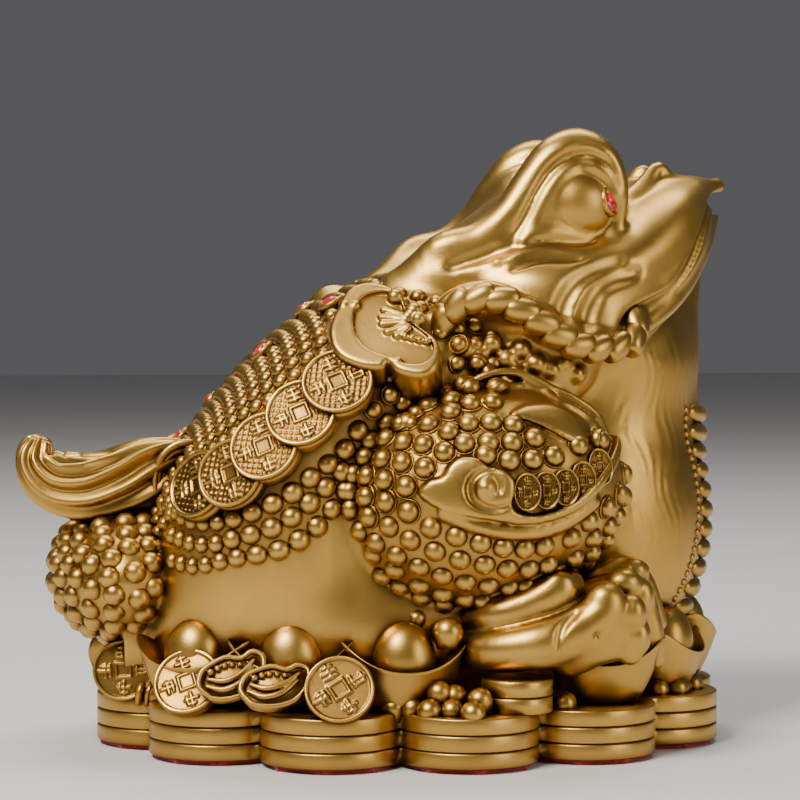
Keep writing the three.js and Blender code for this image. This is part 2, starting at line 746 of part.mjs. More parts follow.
const BROW = [
  [-6, -26, 141, 5],
  [6, -35, 155, 6],
  [19, -37, 159, 6],
  [29, -37, 167, 6],
  [38, -36, 180, 6],
  [46, -35, 189, 6],
  [54, -34, 191, 6.5],
  [61, -36, 187, 6],
  [65, -38, 178, 4.5],
];
const LID = [
  [38, -45, 158, 2.5],
  [43, -43, 173, 2.5],
  [51, -41, 183, 2.5],
  [62, -41, 182, 2.5],
];
const UPPER_LIP = [
  [73, -47, 122, 3.5],
  [78, -45, 130, 4],
  [91, -37, 141, 4],
  [98, -30, 155, 4],
  [102, -20, 168, 4],
  [106, -9, 176, 4],
  [110, 0, 179, 4],
];
const ROPE = [
  [2, -56, 125, 4],
  [9, -60, 132, 6],
  [19, -63, 134, 6],
  [31, -65, 130, 6],
  [43, -65, 122, 5.5],
  [55, -63, 118, 5.5],
  [67, -58, 119, 5],
  [75, -50, 124, 4],
];

function headForms() {
  return [
    ellipsoid(SKULL),
    ellipsoid(MUZZLE),
    ellipsoid(JAW),
    ellipsoid(CHEEKS),
    ellipsoid(MANTLE),
    ...onBothSides([
      ellipsoid(EYE_MOUND),
      ellipsoid(EYEBALL),
      ellipsoid(NOSTRIL),
      limb(BROW, { sides: 5, rings: 9 }),
      limb(LID, { sides: 4, rings: 4 }),
      limb(UPPER_LIP, { sides: 4, rings: 8 }),
      limb(ROPE, { sides: 5, rings: 10 }),
    ]),
  ];
}

// The front legs and the tail.

const FOREARM = [
  [6, -70, 30, 8],
  [21, -76, 32, 8],
  [37, -78, 40, 8],
];
const TOES = [
  [
    [6, -80, 21, 8],
    [23, -82, 21, 8.5],
    [41, -81, 26, 8],
    [53, -79, 33, 8],
    [61, -77, 28, 6.5],
    [65, -75, 18, 5],
  ],
  [
    [39, -72, 34, 8],
    [59, -68, 42, 7],
    [68, -66, 36, 6],
    [71, -66, 28, 4.5],
  ],
  [
    [40, -60, 41, 8],
    [55, -54, 49, 6],
    [66, -53, 45, 5.5],
    [71, -53, 37, 4.5],
  ],
];
const TAIL = [
  [-76, -2, 78, 13],
  [-90, -6, 76, 12],
  [-106, -12, 72, 11],
  [-120, -14, 71, 11],
  [-130, -14, 76, 9],
  [-134, -13, 83, 6],
];

function legForms() {
  return onBothSides([
    limb(FOREARM, { rings: 2 }),
    ...TOES.map((toe) => limb(toe, { sides: 5, rings: toe.length })),
  ]);
}

function tailForms() {
  return onBothSides([limb(TAIL, { sides: 10, rings: 6, flutes: 5, depth: 0.35 })]);
}

// The stones, and what each is set in. A stone's pocket is wider and deeper than the stone.

function stoneSeats() {
  const back = BACK_STONES.map(({ name, share, turn }) => {
    return { name, radius: BACK_STONE_RADIUS, place: trunkSeat(share, turn, WARTS.height) };
  });
  const eyes = [
    ["right_eye_stone", 1],
    ["left_eye_stone", -1],
  ].map(([name, sign]) => {
    const [x, y, z] = EYE_STONE.at;
    const [fx, fy, fz] = EYE_STONE.facing;
    const place = seat(toadPoint([x, sign * y, z]), new THREE.Vector3(fx, sign * fy, fz));
    return { name, radius: EYE_STONE_RADIUS, place };
  });
  return [...back, ...eyes];
}

// A stone, from its flat bottom to the middle of its crown.
function stone({ radius, place }) {
  const profile = [
    new THREE.Vector2(0, -STONE_DEPTH),
    new THREE.Vector2(radius, -STONE_DEPTH),
    new THREE.Vector2(radius, 0),
    new THREE.Vector2(0, STONE_CROWN),
  ];
  return new THREE.LatheGeometry(profile, STONE_SIDES).rotateX(Math.PI / 2).applyMatrix4(place);
}

function collar({ radius, place }) {
  const depth = 2 * STONE_DEPTH;
  return disc(radius + STONE_CLEARANCE + COLLAR_WALL, depth, STONE_SIDES)
    .translate(0, 0, COLLAR_LIP - depth / 2)
    .applyMatrix4(place);
}

function pocket({ radius, place }) {
  const depth = STONE_DEPTH + STONE_CLEARANCE;
  return disc(radius + STONE_CLEARANCE, 2 * depth, STONE_SIDES).applyMatrix4(place);
}

const BRASS = new THREE.MeshStandardMaterial({ color: 0xb8893f, roughness: 0.32, metalness: 1 });
const FELT = new THREE.MeshStandardMaterial({ color: 0x8a1016, roughness: 0.95, metalness: 0 });
const GLASS = new THREE.MeshStandardMaterial({ color: 0xb50d1c, roughness: 0.08, metalness: 0 });

const seats = stoneSeats();
const figure = joined([
  base(),
  ...treasureForms(),
  ...bodyForms(),
  ...shoulderForms(),
  ...flankForms(),
  ...headForms(),
  ...legForms(),
  ...tailForms(),
]);

const moneyToad = new THREE.Group();
const collared = solid(thinned(filled(figure), MOST_FACES)).add(joined(seats.map(collar)));
const casting = filled(collared).subtract(joined(seats.map(pocket)));
moneyToad.add(meshOf(casting, "toad_casting", BRASS));
moneyToad.add(meshOf(solid(feltPad()), "felt_pad", FELT));
for (const place of seats) moneyToad.add(meshOf(solid(stone(place)), place.name, GLASS));

export default moneyToad;
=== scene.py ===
"""The money toad figure as it looks: a satin brass casting with beads, coins and red stones.

All forms are worked out in millimetres, +Z up and +X the way the toad faces, and are turned into
metres when they become meshes.
"""

import math

import bpy
import numpy as np

from mathutils import Matrix


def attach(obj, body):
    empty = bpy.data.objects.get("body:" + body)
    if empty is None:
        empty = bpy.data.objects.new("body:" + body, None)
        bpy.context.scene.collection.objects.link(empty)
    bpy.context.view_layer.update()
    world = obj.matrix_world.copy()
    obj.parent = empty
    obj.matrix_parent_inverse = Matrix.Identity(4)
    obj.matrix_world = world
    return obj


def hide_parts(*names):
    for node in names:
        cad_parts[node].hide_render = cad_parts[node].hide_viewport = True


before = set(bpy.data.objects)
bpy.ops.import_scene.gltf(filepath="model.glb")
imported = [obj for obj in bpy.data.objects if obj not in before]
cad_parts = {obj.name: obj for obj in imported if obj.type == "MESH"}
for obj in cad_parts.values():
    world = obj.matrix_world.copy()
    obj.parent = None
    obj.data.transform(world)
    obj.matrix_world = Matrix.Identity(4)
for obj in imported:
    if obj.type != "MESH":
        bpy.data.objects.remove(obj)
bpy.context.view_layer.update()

# The base.
RING_HALF_LENGTH = 89.0
RING_HALF_WIDTH = 72.0
STACKS = 12
FIRST_STACK_ANGLE = -84.0
COINS_PER_STACK = 3
COIN_RADIUS = 24.2
COIN_THICKNESS = 5.7
FELT_THICKNESS = 1.5
DECK = FELT_THICKNESS + COINS_PER_STACK * COIN_THICKNESS

# The treasure on the deck.
INGOT_LENGTH = 43.0
INGOT_WIDTH = 26.0
INGOT_RIM_HEIGHT = 14.0
INGOT_END_RISE = 9.0
# An ingot's crown is half an egg: its radii, and the height of its middle.
CROWN_RADII = (10.6, 9.4, 13.0)
CROWN_MIDDLE = 16.5
PEARL_RADIUS = 4.4
LUCKY_COIN_RADIUS = 11.3
LUCKY_COIN_THICKNESS = 2.2
STRING_COIN_RADIUS = 11.7
STRING_COIN_THICKNESS = 4.4
SHOULDER_COIN_RADIUS = 6.2
SHOULDER_COIN_THICKNESS = 1.6
# How far a coin's rim and its marks stand out of its face.
RELIEF = 0.7
MARK_HEIGHT = 0.55

# The grid of distances: its step, and the value where no form is near.
GRID_STEP = 1.0
FAR_OUT = 40.0
PROBES = 300
SKIN_TRIANGLES = 190000

rng = np.random.default_rng(8)


def unit(vectors):
    vectors = np.asarray(vectors, float)
    return vectors / np.maximum(np.linalg.norm(vectors, axis=-1, keepdims=True), 1e-9)


def turn_about(axis, angle):
    """The matrix that turns by an angle in degrees about an axis."""
    x, y, z = unit(axis)
    c, s = math.cos(math.radians(angle)), math.sin(math.radians(angle))
    k = np.array([[0, -z, y], [z, 0, -x], [-y, x, 0]])
    return np.eye(3) + s * k + (1 - c) * k @ k


def smooth_path(stations, per_span=8):
    """A smooth curve through the stations: a centripetal Catmull-Rom spline."""
    points = np.asarray(stations, float)
    ends = np.vstack([2 * points[0] - points[1], points, 2 * points[-1] - points[-2]])
    out = []
    for p0, p1, p2, p3 in zip(ends, ends[1:], ends[2:], ends[3:]):
        t0 = 0.0
        t1 = t0 + np.linalg.norm(p1 - p0) ** 0.5
        t2 = t1 + np.linalg.norm(p2 - p1) ** 0.5
        t3 = t2 + np.linalg.norm(p3 - p2) ** 0.5
        t = np.linspace(t1, t2, per_span, endpoint=False)[:, None]
        a1 = (t1 - t) / (t1 - t0) * p0 + (t - t0) / (t1 - t0) * p1
        a2 = (t2 - t) / (t2 - t1) * p1 + (t - t1) / (t2 - t1) * p2
        a3 = (t3 - t) / (t3 - t2) * p2 + (t - t2) / (t3 - t2) * p3
        b1 = (t2 - t) / (t2 - t0) * a1 + (t - t0) / (t2 - t0) * a2
        b2 = (t3 - t) / (t3 - t1) * a2 + (t - t1) / (t3 - t1) * a3
        out.append((t2 - t) / (t2 - t1) * b1 + (t - t1) / (t2 - t1) * b2)
    return np.vstack(out + [points[-1:]])


def lengths_along(points):
    return np.r_[0, np.cumsum(np.linalg.norm(np.diff(points[:, :3], axis=0), axis=1))]


def even_path(points, count):
    """The same curve at evenly spaced points."""
    lengths = lengths_along(points)
    at = np.linspace(0, lengths[-1], count)
    return np.stack([np.interp(at, lengths, column) for column in points.T], axis=1)


# Forms: each gives the distance from points to its surface, below zero inside.

class Form:
    def __init__(self, distance, low, high):
        self.distance = distance
        self.low = np.asarray(low, float)
        self.high = np.asarray(high, float)


def ellipsoid(at, radii, pitch=0.0, yaw=0.0):
    centre = np.asarray(at, float)
    radii = np.asarray(radii, float)
    turn = turn_about((0, 0, 1), yaw) @ turn_about((0, 1, 0), -pitch)
    reach = np.sqrt(((turn * radii) ** 2).sum(axis=1))

    def distance(x, y, z):
        near = [x - centre[0], y - centre[1], z - centre[2]]
        local = [sum(turn[j, i] * near[j] for j in range(3)) for i in range(3)]
        k0 = np.sqrt(sum((local[i] / radii[i]) ** 2 for i in range(3)))
        k1 = np.sqrt(sum((local[i] / radii[i] ** 2) ** 2 for i in range(3)))
        return k0 * (k0 - 1) / np.maximum(k1, 1e-6)

    return Form(distance, centre - reach, centre + reach)


def limb(stations, per_span=5):
    """A smooth tube through [x, y, z, radius] stations with round ends."""
    path = smooth_path(stations, per_span)
    reach = path[:, 3].max()

    def distance(x, y, z):
        best = None
        for (ax, ay, az, ar), (bx, by, bz, br) in zip(path, path[1:]):
            ux, uy, uz = bx - ax, by - ay, bz - az
            length = max(ux * ux + uy * uy + uz * uz, 1e-9)
            t = np.clip(((x - ax) * ux + (y - ay) * uy + (z - az) * uz) / length, 0, 1)
            away = (x - ax - t * ux) ** 2 + (y - ay - t * uy) ** 2 + (z - az - t * uz) ** 2
            here = np.sqrt(away) - (ar + t * (br - ar))
            best = here if best is None else np.minimum(best, here)
        return best

    return Form(distance, path[:, :3].min(axis=0) - reach, path[:, :3].max(axis=0) + reach)


def smooth_least(a, b, blend):
    """The lesser of two distances, rounded where they meet."""
    if blend <= 0:
        return np.minimum(a, b)
    share = np.clip(0.5 + 0.5 * (b - a) / blend, 0, 1)
    return b + (a - b) * share - blend * share * (1 - share)


class Field:
    """Distances on a grid over the toad's right half, which is mirrored when it is read."""

    def __init__(self, low, high, step):
        self.step = step
        self.low = np.array(low, float)
        self.low[1] = -step * math.ceil(-low[1] / step)
        counts = np.ceil((np.array(high) - self.low) / step).astype(int) + 1
        counts[1] = round(-self.low[1] / step) + 4
        self.axes = [self.low[i] + step * np.arange(counts[i]) for i in range(3)]
        self.values = np.full(counts, FAR_OUT, np.float32)

    def window(self, low, high):
        cut = []
        for axis, lo, hi in zip(self.axes, low, high):
            first = max(int(np.searchsorted(axis, lo)) - 1, 0)
            last = min(int(np.searchsorted(axis, hi)) + 1, len(axis))
            cut.append(slice(first, max(last, first)))
        x, y, z = (axis[part] for axis, part in zip(self.axes, cut))
        grid = (x[:, None, None], y[None, :, None], z[None, None, :])
        return tuple(cut), grid

    def add(self, form, blend, sign=1):
        pad = blend + 3 * self.step
        cut, grid = self.window(form.low - pad, form.high + pad)
        if self.values[cut].size:
            self.values[cut] = sign * smooth_least(sign * self.values[cut], form.distance(*grid), blend)

    def carve(self, form, blend):
        self.add(form, blend, -1)

    def laid(self, stations, lift):
        """Stations moved sideways onto the form's right side as it is so far, and out by lift radii."""
        out = []
        for x, y, z, r in smooth_path(stations, 4):
            reach = np.linspace(self.low[1], 0, PROBES)
            line = np.stack([np.full(PROBES, x), reach, np.full(PROBES, z + DECK)], axis=1)
            inside = np.flatnonzero(sample(self.values, self.low, self.step, line) < 0)
            side = reach[inside[0]] if len(inside) else y
            out.append((x, side - lift * r, z, r))
        path = np.array(out)
        for _ in range(2):
            path[1:-1, 1] = (path[:-2, 1] + 2 * path[1:-1, 1] + path[2:, 1]) / 4
        return [tuple(p) for p in path]

    def whole(self):
        """The values over both halves, and the corner that they start from."""
        values = self.values[:, : len(self.axes[1]) - 3, :]
        both = np.concatenate([values, values[:, -2::-1, :]], axis=1)
        return both, self.low


def sample(values, low, step, points):
    """The values at points between the grid's own."""
    at = (points - low) / step
    at = np.clip(at, 0, np.array(values.shape) - 1.001)
    cell = at.astype(int)
    part = at - cell
    out = 0.0
    for i in (0, 1):
        for j in (0, 1):
            for k in (0, 1):
                weight = np.abs((1 - i, 1 - j, 1 - k) - part)
                weight = weight[:, 0] * weight[:, 1] * weight[:, 2]
                out = out + weight * values[cell[:, 0] + i, cell[:, 1] + j, cell[:, 2] + k]
    return out


def slope(values, low, step, points):
    """The outward normals of the form at points."""
    gap = 0.6 * step
    shifts = np.eye(3) * gap
    parts = [sample(values, low, step, points + s) - sample(values, low, step, points - s) for s in shifts]
    return unit(np.stack(parts, axis=1))


def settle(values, low, step, points, rounds=2):
    """The points moved onto the form's surface."""
    for _ in range(rounds):
        away = np.clip(sample(values, low, step, points), -step, step)
        points = points - slope(values, low, step, points) * away[:, None]
    return points


def surface(values, low, step):
    """The zero surface of a grid of distances as points and four-sided faces."""
    inside = values < 0
    x, y, z = (np.arange(count - 1) for count in inside.shape)
    corners = [inside[np.ix_(x + i, y + j, z + k)] for i in (0, 1) for j in (0, 1) for k in (0, 1)]
    corner_sum = sum(part.astype(np.int8) for part in corners)
    cells = np.argwhere((corner_sum > 0) & (corner_sum < 8))
    number = np.full(corner_sum.shape, -1, np.int32)
    number[tuple(cells.T)] = np.arange(len(cells))
    total = np.zeros((len(cells), 3))
    crossings = np.zeros(len(cells))
    for axis in range(3):
        others = [a for a in range(3) if a != axis]
        for i in (0, 1):
            for j in (0, 1):
                start = cells.copy()
                start[:, others[0]] += i
                start[:, others[1]] += j
                end = start.copy()
                end[:, axis] += 1
                a = values[tuple(start.T)]
                b = values[tuple(end.T)]
                cut = (a < 0) != (b < 0)
                share = np.where(cut, a / np.where(cut, a - b, 1), 0)
                spot = start.astype(float)
                spot[:, axis] += share
                total += spot * cut[:, None]
                crossings += cut
    points = low + step * total / crossings[:, None]
    faces = []
    for axis in range(3):
        others = [a for a in range(3) if a != axis]
        ahead = [slice(None)] * 3
        behind = [slice(None)] * 3
        ahead[axis] = slice(1, None)
        behind[axis] = slice(None, -1)
        change = inside[tuple(behind)].astype(np.int8) - inside[tuple(ahead)].astype(np.int8)
        at = np.argwhere(change != 0)
        keep = (at[:, others[0]] > 0) & (at[:, others[1]] > 0)
        for a in others:
            keep &= at[:, a] < corner_sum.shape[a]
        at = at[keep]
        sign = change[tuple(at.T)]
        quad = []
        for i, j in ((0, 0), (1, 0), (1, 1), (0, 1)):
            cell = at.copy()
            cell[:, others[0]] -= i
            cell[:, others[1]] -= j
            quad.append(number[tuple(cell.T)])
        quad = np.stack(quad, axis=1)
        flip = (sign > 0) == (axis == 1)
        quad[flip] = quad[flip][:, ::-1]
        faces.append(quad[(quad >= 0).all(axis=1)])
    return points, np.vstack(faces)


def placed(name, data):
    """A new object in the scene."""
    made = bpy.data.objects.new(name, data)
    bpy.context.scene.collection.objects.link(made)
    return made


def piece(name, points, faces, material, smooth=True, patina=None):
    """A mesh object of the figure, from points in millimetres. The per-point darkness it is given is painted
    into the brass colour: patina with painted shade in recesses.
    """
    mesh = bpy.data.meshes.new(name)
    points = np.asarray(points, float) / 1000
    faces = faces.tolist() if isinstance(faces, np.ndarray) else faces
    mesh.from_pydata(points.tolist(), [], faces)
    mesh.update()
    mesh.polygons.foreach_set("use_smooth", [smooth] * len(mesh.polygons))
    mesh.materials.append(material)
    # Per-point darkness painted into the brass: patina with painted shade in recesses.
    if patina is not None:
        darkness = mesh.attributes.new("patina", "FLOAT", "POINT").data
        darkness.foreach_set("value", np.asarray(patina, np.float32))
    made = placed(name, mesh)
    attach(made, "root")
    return made


class Parts:
    """Many small closed forms gathered into one mesh."""

    def __init__(self):
        self.points = []
        self.faces = []
        # Per-point darkness of patina with painted shade.
        self.patina = []
        self.count = 0

    def put(self, points, faces, matrix=None, at=(0, 0, 0), patina=None):
        points = np.asarray(points, float)
        self.patina.append(np.zeros(len(points)) if patina is None else patina)
        if matrix is not None:
            points = points @ np.asarray(matrix).T
        self.points.append(points + np.asarray(at, float))
        self.faces += [[v + self.count for v in face] for face in faces]
        self.count += len(points)

    def put_mirrored(self, points, faces, matrix=None, at=(0, 0, 0), patina=None):
        """The form, and its mirror image on the toad's left."""
        self.put(points, faces, matrix, at, patina)
        last = self.points[-1] * (1, -1, 1)
        self.put(last, [face[::-1] for face in faces], patina=patina)

    def cast_as(self, name):
        """All of them as one piece of the casting."""
        patina = np.concatenate(self.patina)
        return cast(piece(name, np.vstack(self.points), self.faces, BRASS, patina=patina))


def closed_skin(rings, first=None, last=None):
    """Points and faces of a skin over rings of points, closed at both ends."""
    around = len(rings[0])
    points = [np.asarray(ring, float) for ring in rings]
    first = points[0].mean(axis=0) if first is None else np.asarray(first, float)
    last = points[-1].mean(axis=0) if last is None else np.asarray(last, float)
    stacked = np.vstack(points + [first[None], last[None]])
    a, b = len(stacked) - 2, len(stacked) - 1
    faces = []
    for r in range(len(rings) - 1):
        for c in range(around):
            d = (c + 1) % around
            faces.append([r * around + c, r * around + d, (r + 1) * around + d, (r + 1) * around + c])
    end = (len(rings) - 1) * around
    for c in range(around):
        d = (c + 1) % around
        faces.append([a, d, c])
        faces.append([b, end + c, end + d])
    return stacked, faces


def flat_ring(radius, height, angles):
    return np.stack([radius * np.cos(angles), radius * np.sin(angles), np.full(len(angles), height)], axis=1)


def turned(profile, sides):
    """A form turned about +Z from (radius, height) pairs, bottom first."""
    angles = np.linspace(0, 2 * math.pi, sides, endpoint=False)
    rings = [flat_ring(r, h, angles) for r, h in profile if r > 1e-6]
    return closed_skin(rings, (0, 0, profile[0][1]), (0, 0, profile[-1][1]))


def seat_matrix(normal, up=(0, 0, 1)):
    """Axes whose third is the normal and whose second is as near up as it can be."""
    out = unit(normal)
    across = unit(np.cross(up, out))
    return np.stack([across, np.cross(out, across), out], axis=1)


def swept(path, radii, sides=12, flutes=0, depth=0.0, twist=0.0, up=(0, 0, 1)):
    """A tube along a path, with flutes cut along it, twisted by so many turns in all."""
    path = np.asarray(path, float)
    tangents = unit(np.gradient(path, axis=0))
    across = unit(np.cross(tangents, np.broadcast_to(up, path.shape)))
    rise = np.cross(across, tangents)
    angles = np.linspace(0, 2 * math.pi, sides, endpoint=False)
    rings = []
    for i, (spot, a, b, radius) in enumerate(zip(path, across, rise, radii)):
        turns = angles + 2 * math.pi * twist * i / (len(path) - 1)
        r = radius * (1 - depth * (0.5 + 0.5 * np.cos(flutes * angles)))
        rings.append(spot + np.outer(r * np.cos(turns), a) + np.outer(r * np.sin(turns), b))
    first = path[0] - tangents[0] * radii[0] * 0.3
    last = path[-1] + tangents[-1] * radii[-1] * 0.3
    return closed_skin(rings, first, last)


# The toad's own forms, in millimetres with heights counted from the deck. Stations of limbs are
# (x, y, z, radius), and those of the trunk are (x, top, half width).
TRUNK_STATIONS = [
    (-97, 53, 30), (-88, 75, 46), (-78, 90, 56), (-66, 105, 64), (-50, 122, 70), (-32, 135, 73),
    (-12, 144, 73), (8, 147, 68), (28, 144, 58),
]
TRUNK_FULLNESS = 2.8
TRUNK_LINE = even_path(smooth_path([(x, half, top) for x, top, half in TRUNK_STATIONS], 12), 400)
SHOULDER = {"at": (17, -56, 71), "radii": (38, 35, 49), "pitch": 100}
HAUNCH = {"at": (-103, 0, 41), "radii": (23.5, 46, 25), "pitch": 90}

# Beads: where those of the back end, where the shoulder's studs give way to round beads, how far
# scattered beads keep from the measured rows, a stud's radius in spacings, and the depth at which
# a bead is left out because another form covers it.
BACK_BEADS_LOWEST = 44.0
UPPER_BEADS_FROM = 64.5
UPPER_BEAD_RADIUS = 3.75
LOWER_BEAD_RADIUS = 4.05
HAUNCH_BEAD_RADIUS = 4.15
ROW_CLEARANCE = 6.6
STUD_SHARE = 0.42
BURIED = -1.6


def lifted(at):
    """A place given from the deck, as a place from the table."""
    return np.asarray(at, float) + (0, 0, DECK)


def body_ellipsoid(at, **options):
    return ellipsoid(lifted(at), **options)


def body_limb(stations, per_span=5):
    return limb([(x, y, z + DECK, r) for x, y, z, r in stations], per_span)


def trunk_form():
    """The trunk, as sections that are fuller than an oval. It is worked out on a box of its own."""
    low = np.array([-110.0, -80.0, DECK - 4])
    high = np.array([44.0, 10.0, DECK + 156])

    def distance(x, y, z):
        half = np.interp(x, TRUNK_LINE[:, 0], TRUNK_LINE[:, 1])
        middle = np.interp(x, TRUNK_LINE[:, 0], TRUNK_LINE[:, 2]) / 2
        n = TRUNK_FULLNESS
        a = np.abs(y) / half
        b = np.abs(z - DECK - middle) / middle
        q = (a**n + b**n) ** (1 / n)
        steep = np.sqrt((a ** (n - 1) / half) ** 2 + (b ** (n - 1) / middle) ** 2)
        gradient = np.maximum(np.maximum(q, 0.05) ** (1 - n) * steep, 1 / 90)
        lean = 0.82 + 0.18 * np.clip((x + 60) / 60, 0, 1)
        side = (q - 1) / gradient * lean
        ends = np.maximum(-104 - x, x - 34) + 0 * side
        flat_side = np.abs(y) - np.interp(x, [-58, -36, 20], [76, 67.5, 58]) + 0 * side
        return -smooth_least(-np.maximum(side, ends), -flat_side, 8)

    return Form(distance, low, high)


def trunk_point(share, turn):
    """A point of the trunk: share 0 is the rump and 1 the nape, turn 0 the ridge."""
    x, half, top = (np.interp(share, np.linspace(0, 1, len(TRUNK_LINE)), column) for column in TRUNK_LINE.T)
    angle = math.radians(turn)
    power = 2 / TRUNK_FULLNESS
    y = -half * math.copysign(abs(math.sin(angle)) ** power, math.sin(angle))
    z = top / 2 + top / 2 * math.copysign(abs(math.cos(angle)) ** power, math.cos(angle))
    return lifted((x, y, z))


BROW = [
    (-6, -26, 141, 5), (6, -35, 154, 6.5), (19, -37, 158, 6.5), (29, -38, 166, 6.5), (38, -37, 178, 7),
    (46, -36, 187, 7.5), (54, -35, 190, 7.5), (61.5, -37, 187, 6.5), (67, -38, 178, 4.5),
    (68, -38, 168, 3), (65.5, -37, 161, 2.4),
]
BROW_FOOT = [(-6, -29, 140, 9), (4, -32.5, 144, 10.5), (14, -34.5, 146.5, 10.5), (24, -34.5, 149.5, 10)]
EYE_MOUND = [
    (8, -26, 142, 10), (20, -30, 148, 11), (31, -31, 156, 12.5), (42, -31, 167, 14), (51, -29.5, 173, 15),
    (58, -29, 172, 13),
]
BROW_CREASE = [
    (8, 0, 149, 1.2), (22, 0, 154, 2), (31, 0, 159, 2.2), (35, 0, 166, 2.2), (39.5, 0, 175, 2.2),
    (44, 0, 182, 2.2), (51, 0, 186.5, 2.2), (58, 0, 187, 2), (63.5, 0, 183, 1.6), (66, 0, 177, 1),
]
CHEEK_FLANGE = [
    (56, -43, 140, 10), (68, -38, 147, 11), (80, -31, 154, 11), (91, -21, 163, 10), (98, -8, 171, 8),
]
LID = [
    (33, -42, 158, 2.2), (37.5, -43, 166, 2.5), (42.5, -43, 175, 2.7), (49.5, -42, 182, 2.7),
    (56.5, -41.5, 184, 2.7), (63, -41, 181, 2.4), (66, -40, 174, 2),
]
UNDER_FOLDS = [
    [
        (27, -41, 156, 1.6), (36, -42, 159.5, 2.2), (45, -42, 160.5, 2.4), (58, -41, 159.5, 2.4),
        (67, -38, 160.5, 1.8),
    ],
    [
        (24, -43, 151.5, 1.4), (30, -44, 153.5, 2.2), (38, -45, 155, 2.6), (50, -45, 154.5, 2.6),
        (62, -42, 153.5, 2.4), (72, -37, 155, 1.8),
    ],
]
UNDER_CREASES = [
    [(25, 0, 153, 1), (31, 0, 156.2, 1.3), (42, 0, 157.9, 1.4), (55, 0, 157, 1.4), (68, 0, 157.4, 1)],
    [(29, 0, 148.6, 0.9), (38, 0, 151.6, 1.4), (52, 0, 151.2, 1.4), (66, 0, 150.6, 1)],
]
CHEEK_GROOVES = [
    [
        (66, -45, 150.5, 1.2), (62.5, -47, 149.5, 1.8), (55.4, -50, 147, 2), (49.8, -53, 143.5, 2),
        (44.8, -56, 136.7, 2), (43, -58, 130, 1.2),
    ],
    [
        (72, -43, 147, 1.2), (69.9, -44, 146.2, 1.8), (63.3, -47, 144.4, 2), (57.7, -50, 141, 2),
        (53.3, -53, 133.8, 2), (51.8, -56, 127.4, 1.2),
    ],
]
UPPER_LIP = [
    (60.5, -52, 124, 2.4), (61.5, -51, 129, 2.6), (65, -49, 134, 2.6), (73, -45, 138.2, 2.6),
    (81.5, -40, 141.2, 2.8), (89.5, -34, 146.4, 3), (95.5, -27, 156.1, 3), (100, -19, 166.9, 3),
    (103.5, -10, 175, 3.2), (108, -4, 177.6, 3.2), (112.8, 0, 179, 3.1),
]
LOWER_LIP = [
    (68, -46, 124, 3), (76.6, -42, 128.9, 3.2), (86, -35, 135, 3.4), (94.5, -27, 143, 3.4),
    (101.5, -18, 153, 3.4), (106.5, -9, 161, 3.2), (111, 0, 167.3, 3),
]
MOUTH = [
    (65, -53, 127, 1.2), (70, -50, 132.6, 1.9), (79, -44.5, 136.6, 2.1), (87, -38.5, 140.6, 2.2),
    (95, -31.5, 150, 2.2), (101, -22, 161.5, 2.2), (106.5, -11, 171.5, 2.2), (112, 0, 175, 2.2),
]
NOSTRIL_RIDGE = [
    (73, -20, 169, 2.6), (81, -16, 176.5, 3), (88.5, -12, 184.4, 2.8), (93, -11, 180.5, 2.6),
    (103, -5, 178, 2.6),
]
THROAT = [
    (84, 0, 92, 22), (82, 0, 106, 21), (84, 0, 120, 20.5), (89, 0, 134, 17), (96, 0, 147, 11),
    (104, 0, 158, 5),
]
FOREARM = [
    (12, -62, 29, 6.6), (20, -73, 31.6, 6.8), (30, -76, 35.2, 7), (37.5, -76.5, 39, 7.6),
    (42, -75, 40.5, 6.8),
]
PALM = [((44.1, -76, 19.1), (9, 7, 8)), ((49.6, -79, 24.7), (10, 7, 10)), ((57.2, -79, 25.3), (9, 7, 9))]
WRIST = [(43.4, -86, 33.7), (38.3, -88, 29.3), (36.4, -89, 22.8)]
TOES = [
    [
        (10, -64, 19, 6.5), (17, -76, 20, 7.2), (29, -82, 22, 8), (39, -82, 24.5, 8.5),
        (47.7, -82, 28.5, 8), (54.5, -82, 33.5, 7.2), (58, -81, 34, 5.5),
    ],
    [
        (36, -70, 30, 8), (46, -69, 33, 8), (55, -68, 36, 7.5), (62.5, -67, 38.5, 6.5),
        (68.5, -66, 36, 6), (72, -66, 29, 5), (74.5, -66, 21, 4), (75.5, -66, 14.5, 2.8),
    ],
    [
        (38, -60, 36, 8), (50, -58, 38, 7), (60, -57, 42, 6.5), (67, -56, 44, 5.8), (72, -56, 40, 5),
        (75.5, -56, 33, 4.2), (78.5, -56, 26, 3),
    ],
]
KNUCKLES = [
    ((54.2, -83, 36.2), (7, 6, 7)), ((63.3, -82, 32.6), (5, 5.4, 6.4)), ((65.3, -81, 24.7), (4.8, 5, 7)),
    ((63.1, -80, 19.2), (4.4, 4.6, 4.4)), ((63.0, -71, 41.3), (6.6, 5.4, 5.4)),
    ((69.2, -70, 36.6), (4.6, 4.6, 6.6)), ((69.0, -60, 44.5), (5.4, 4.6, 4.4)),
    ((39, -80, 41), (6, 4, 6)),
]

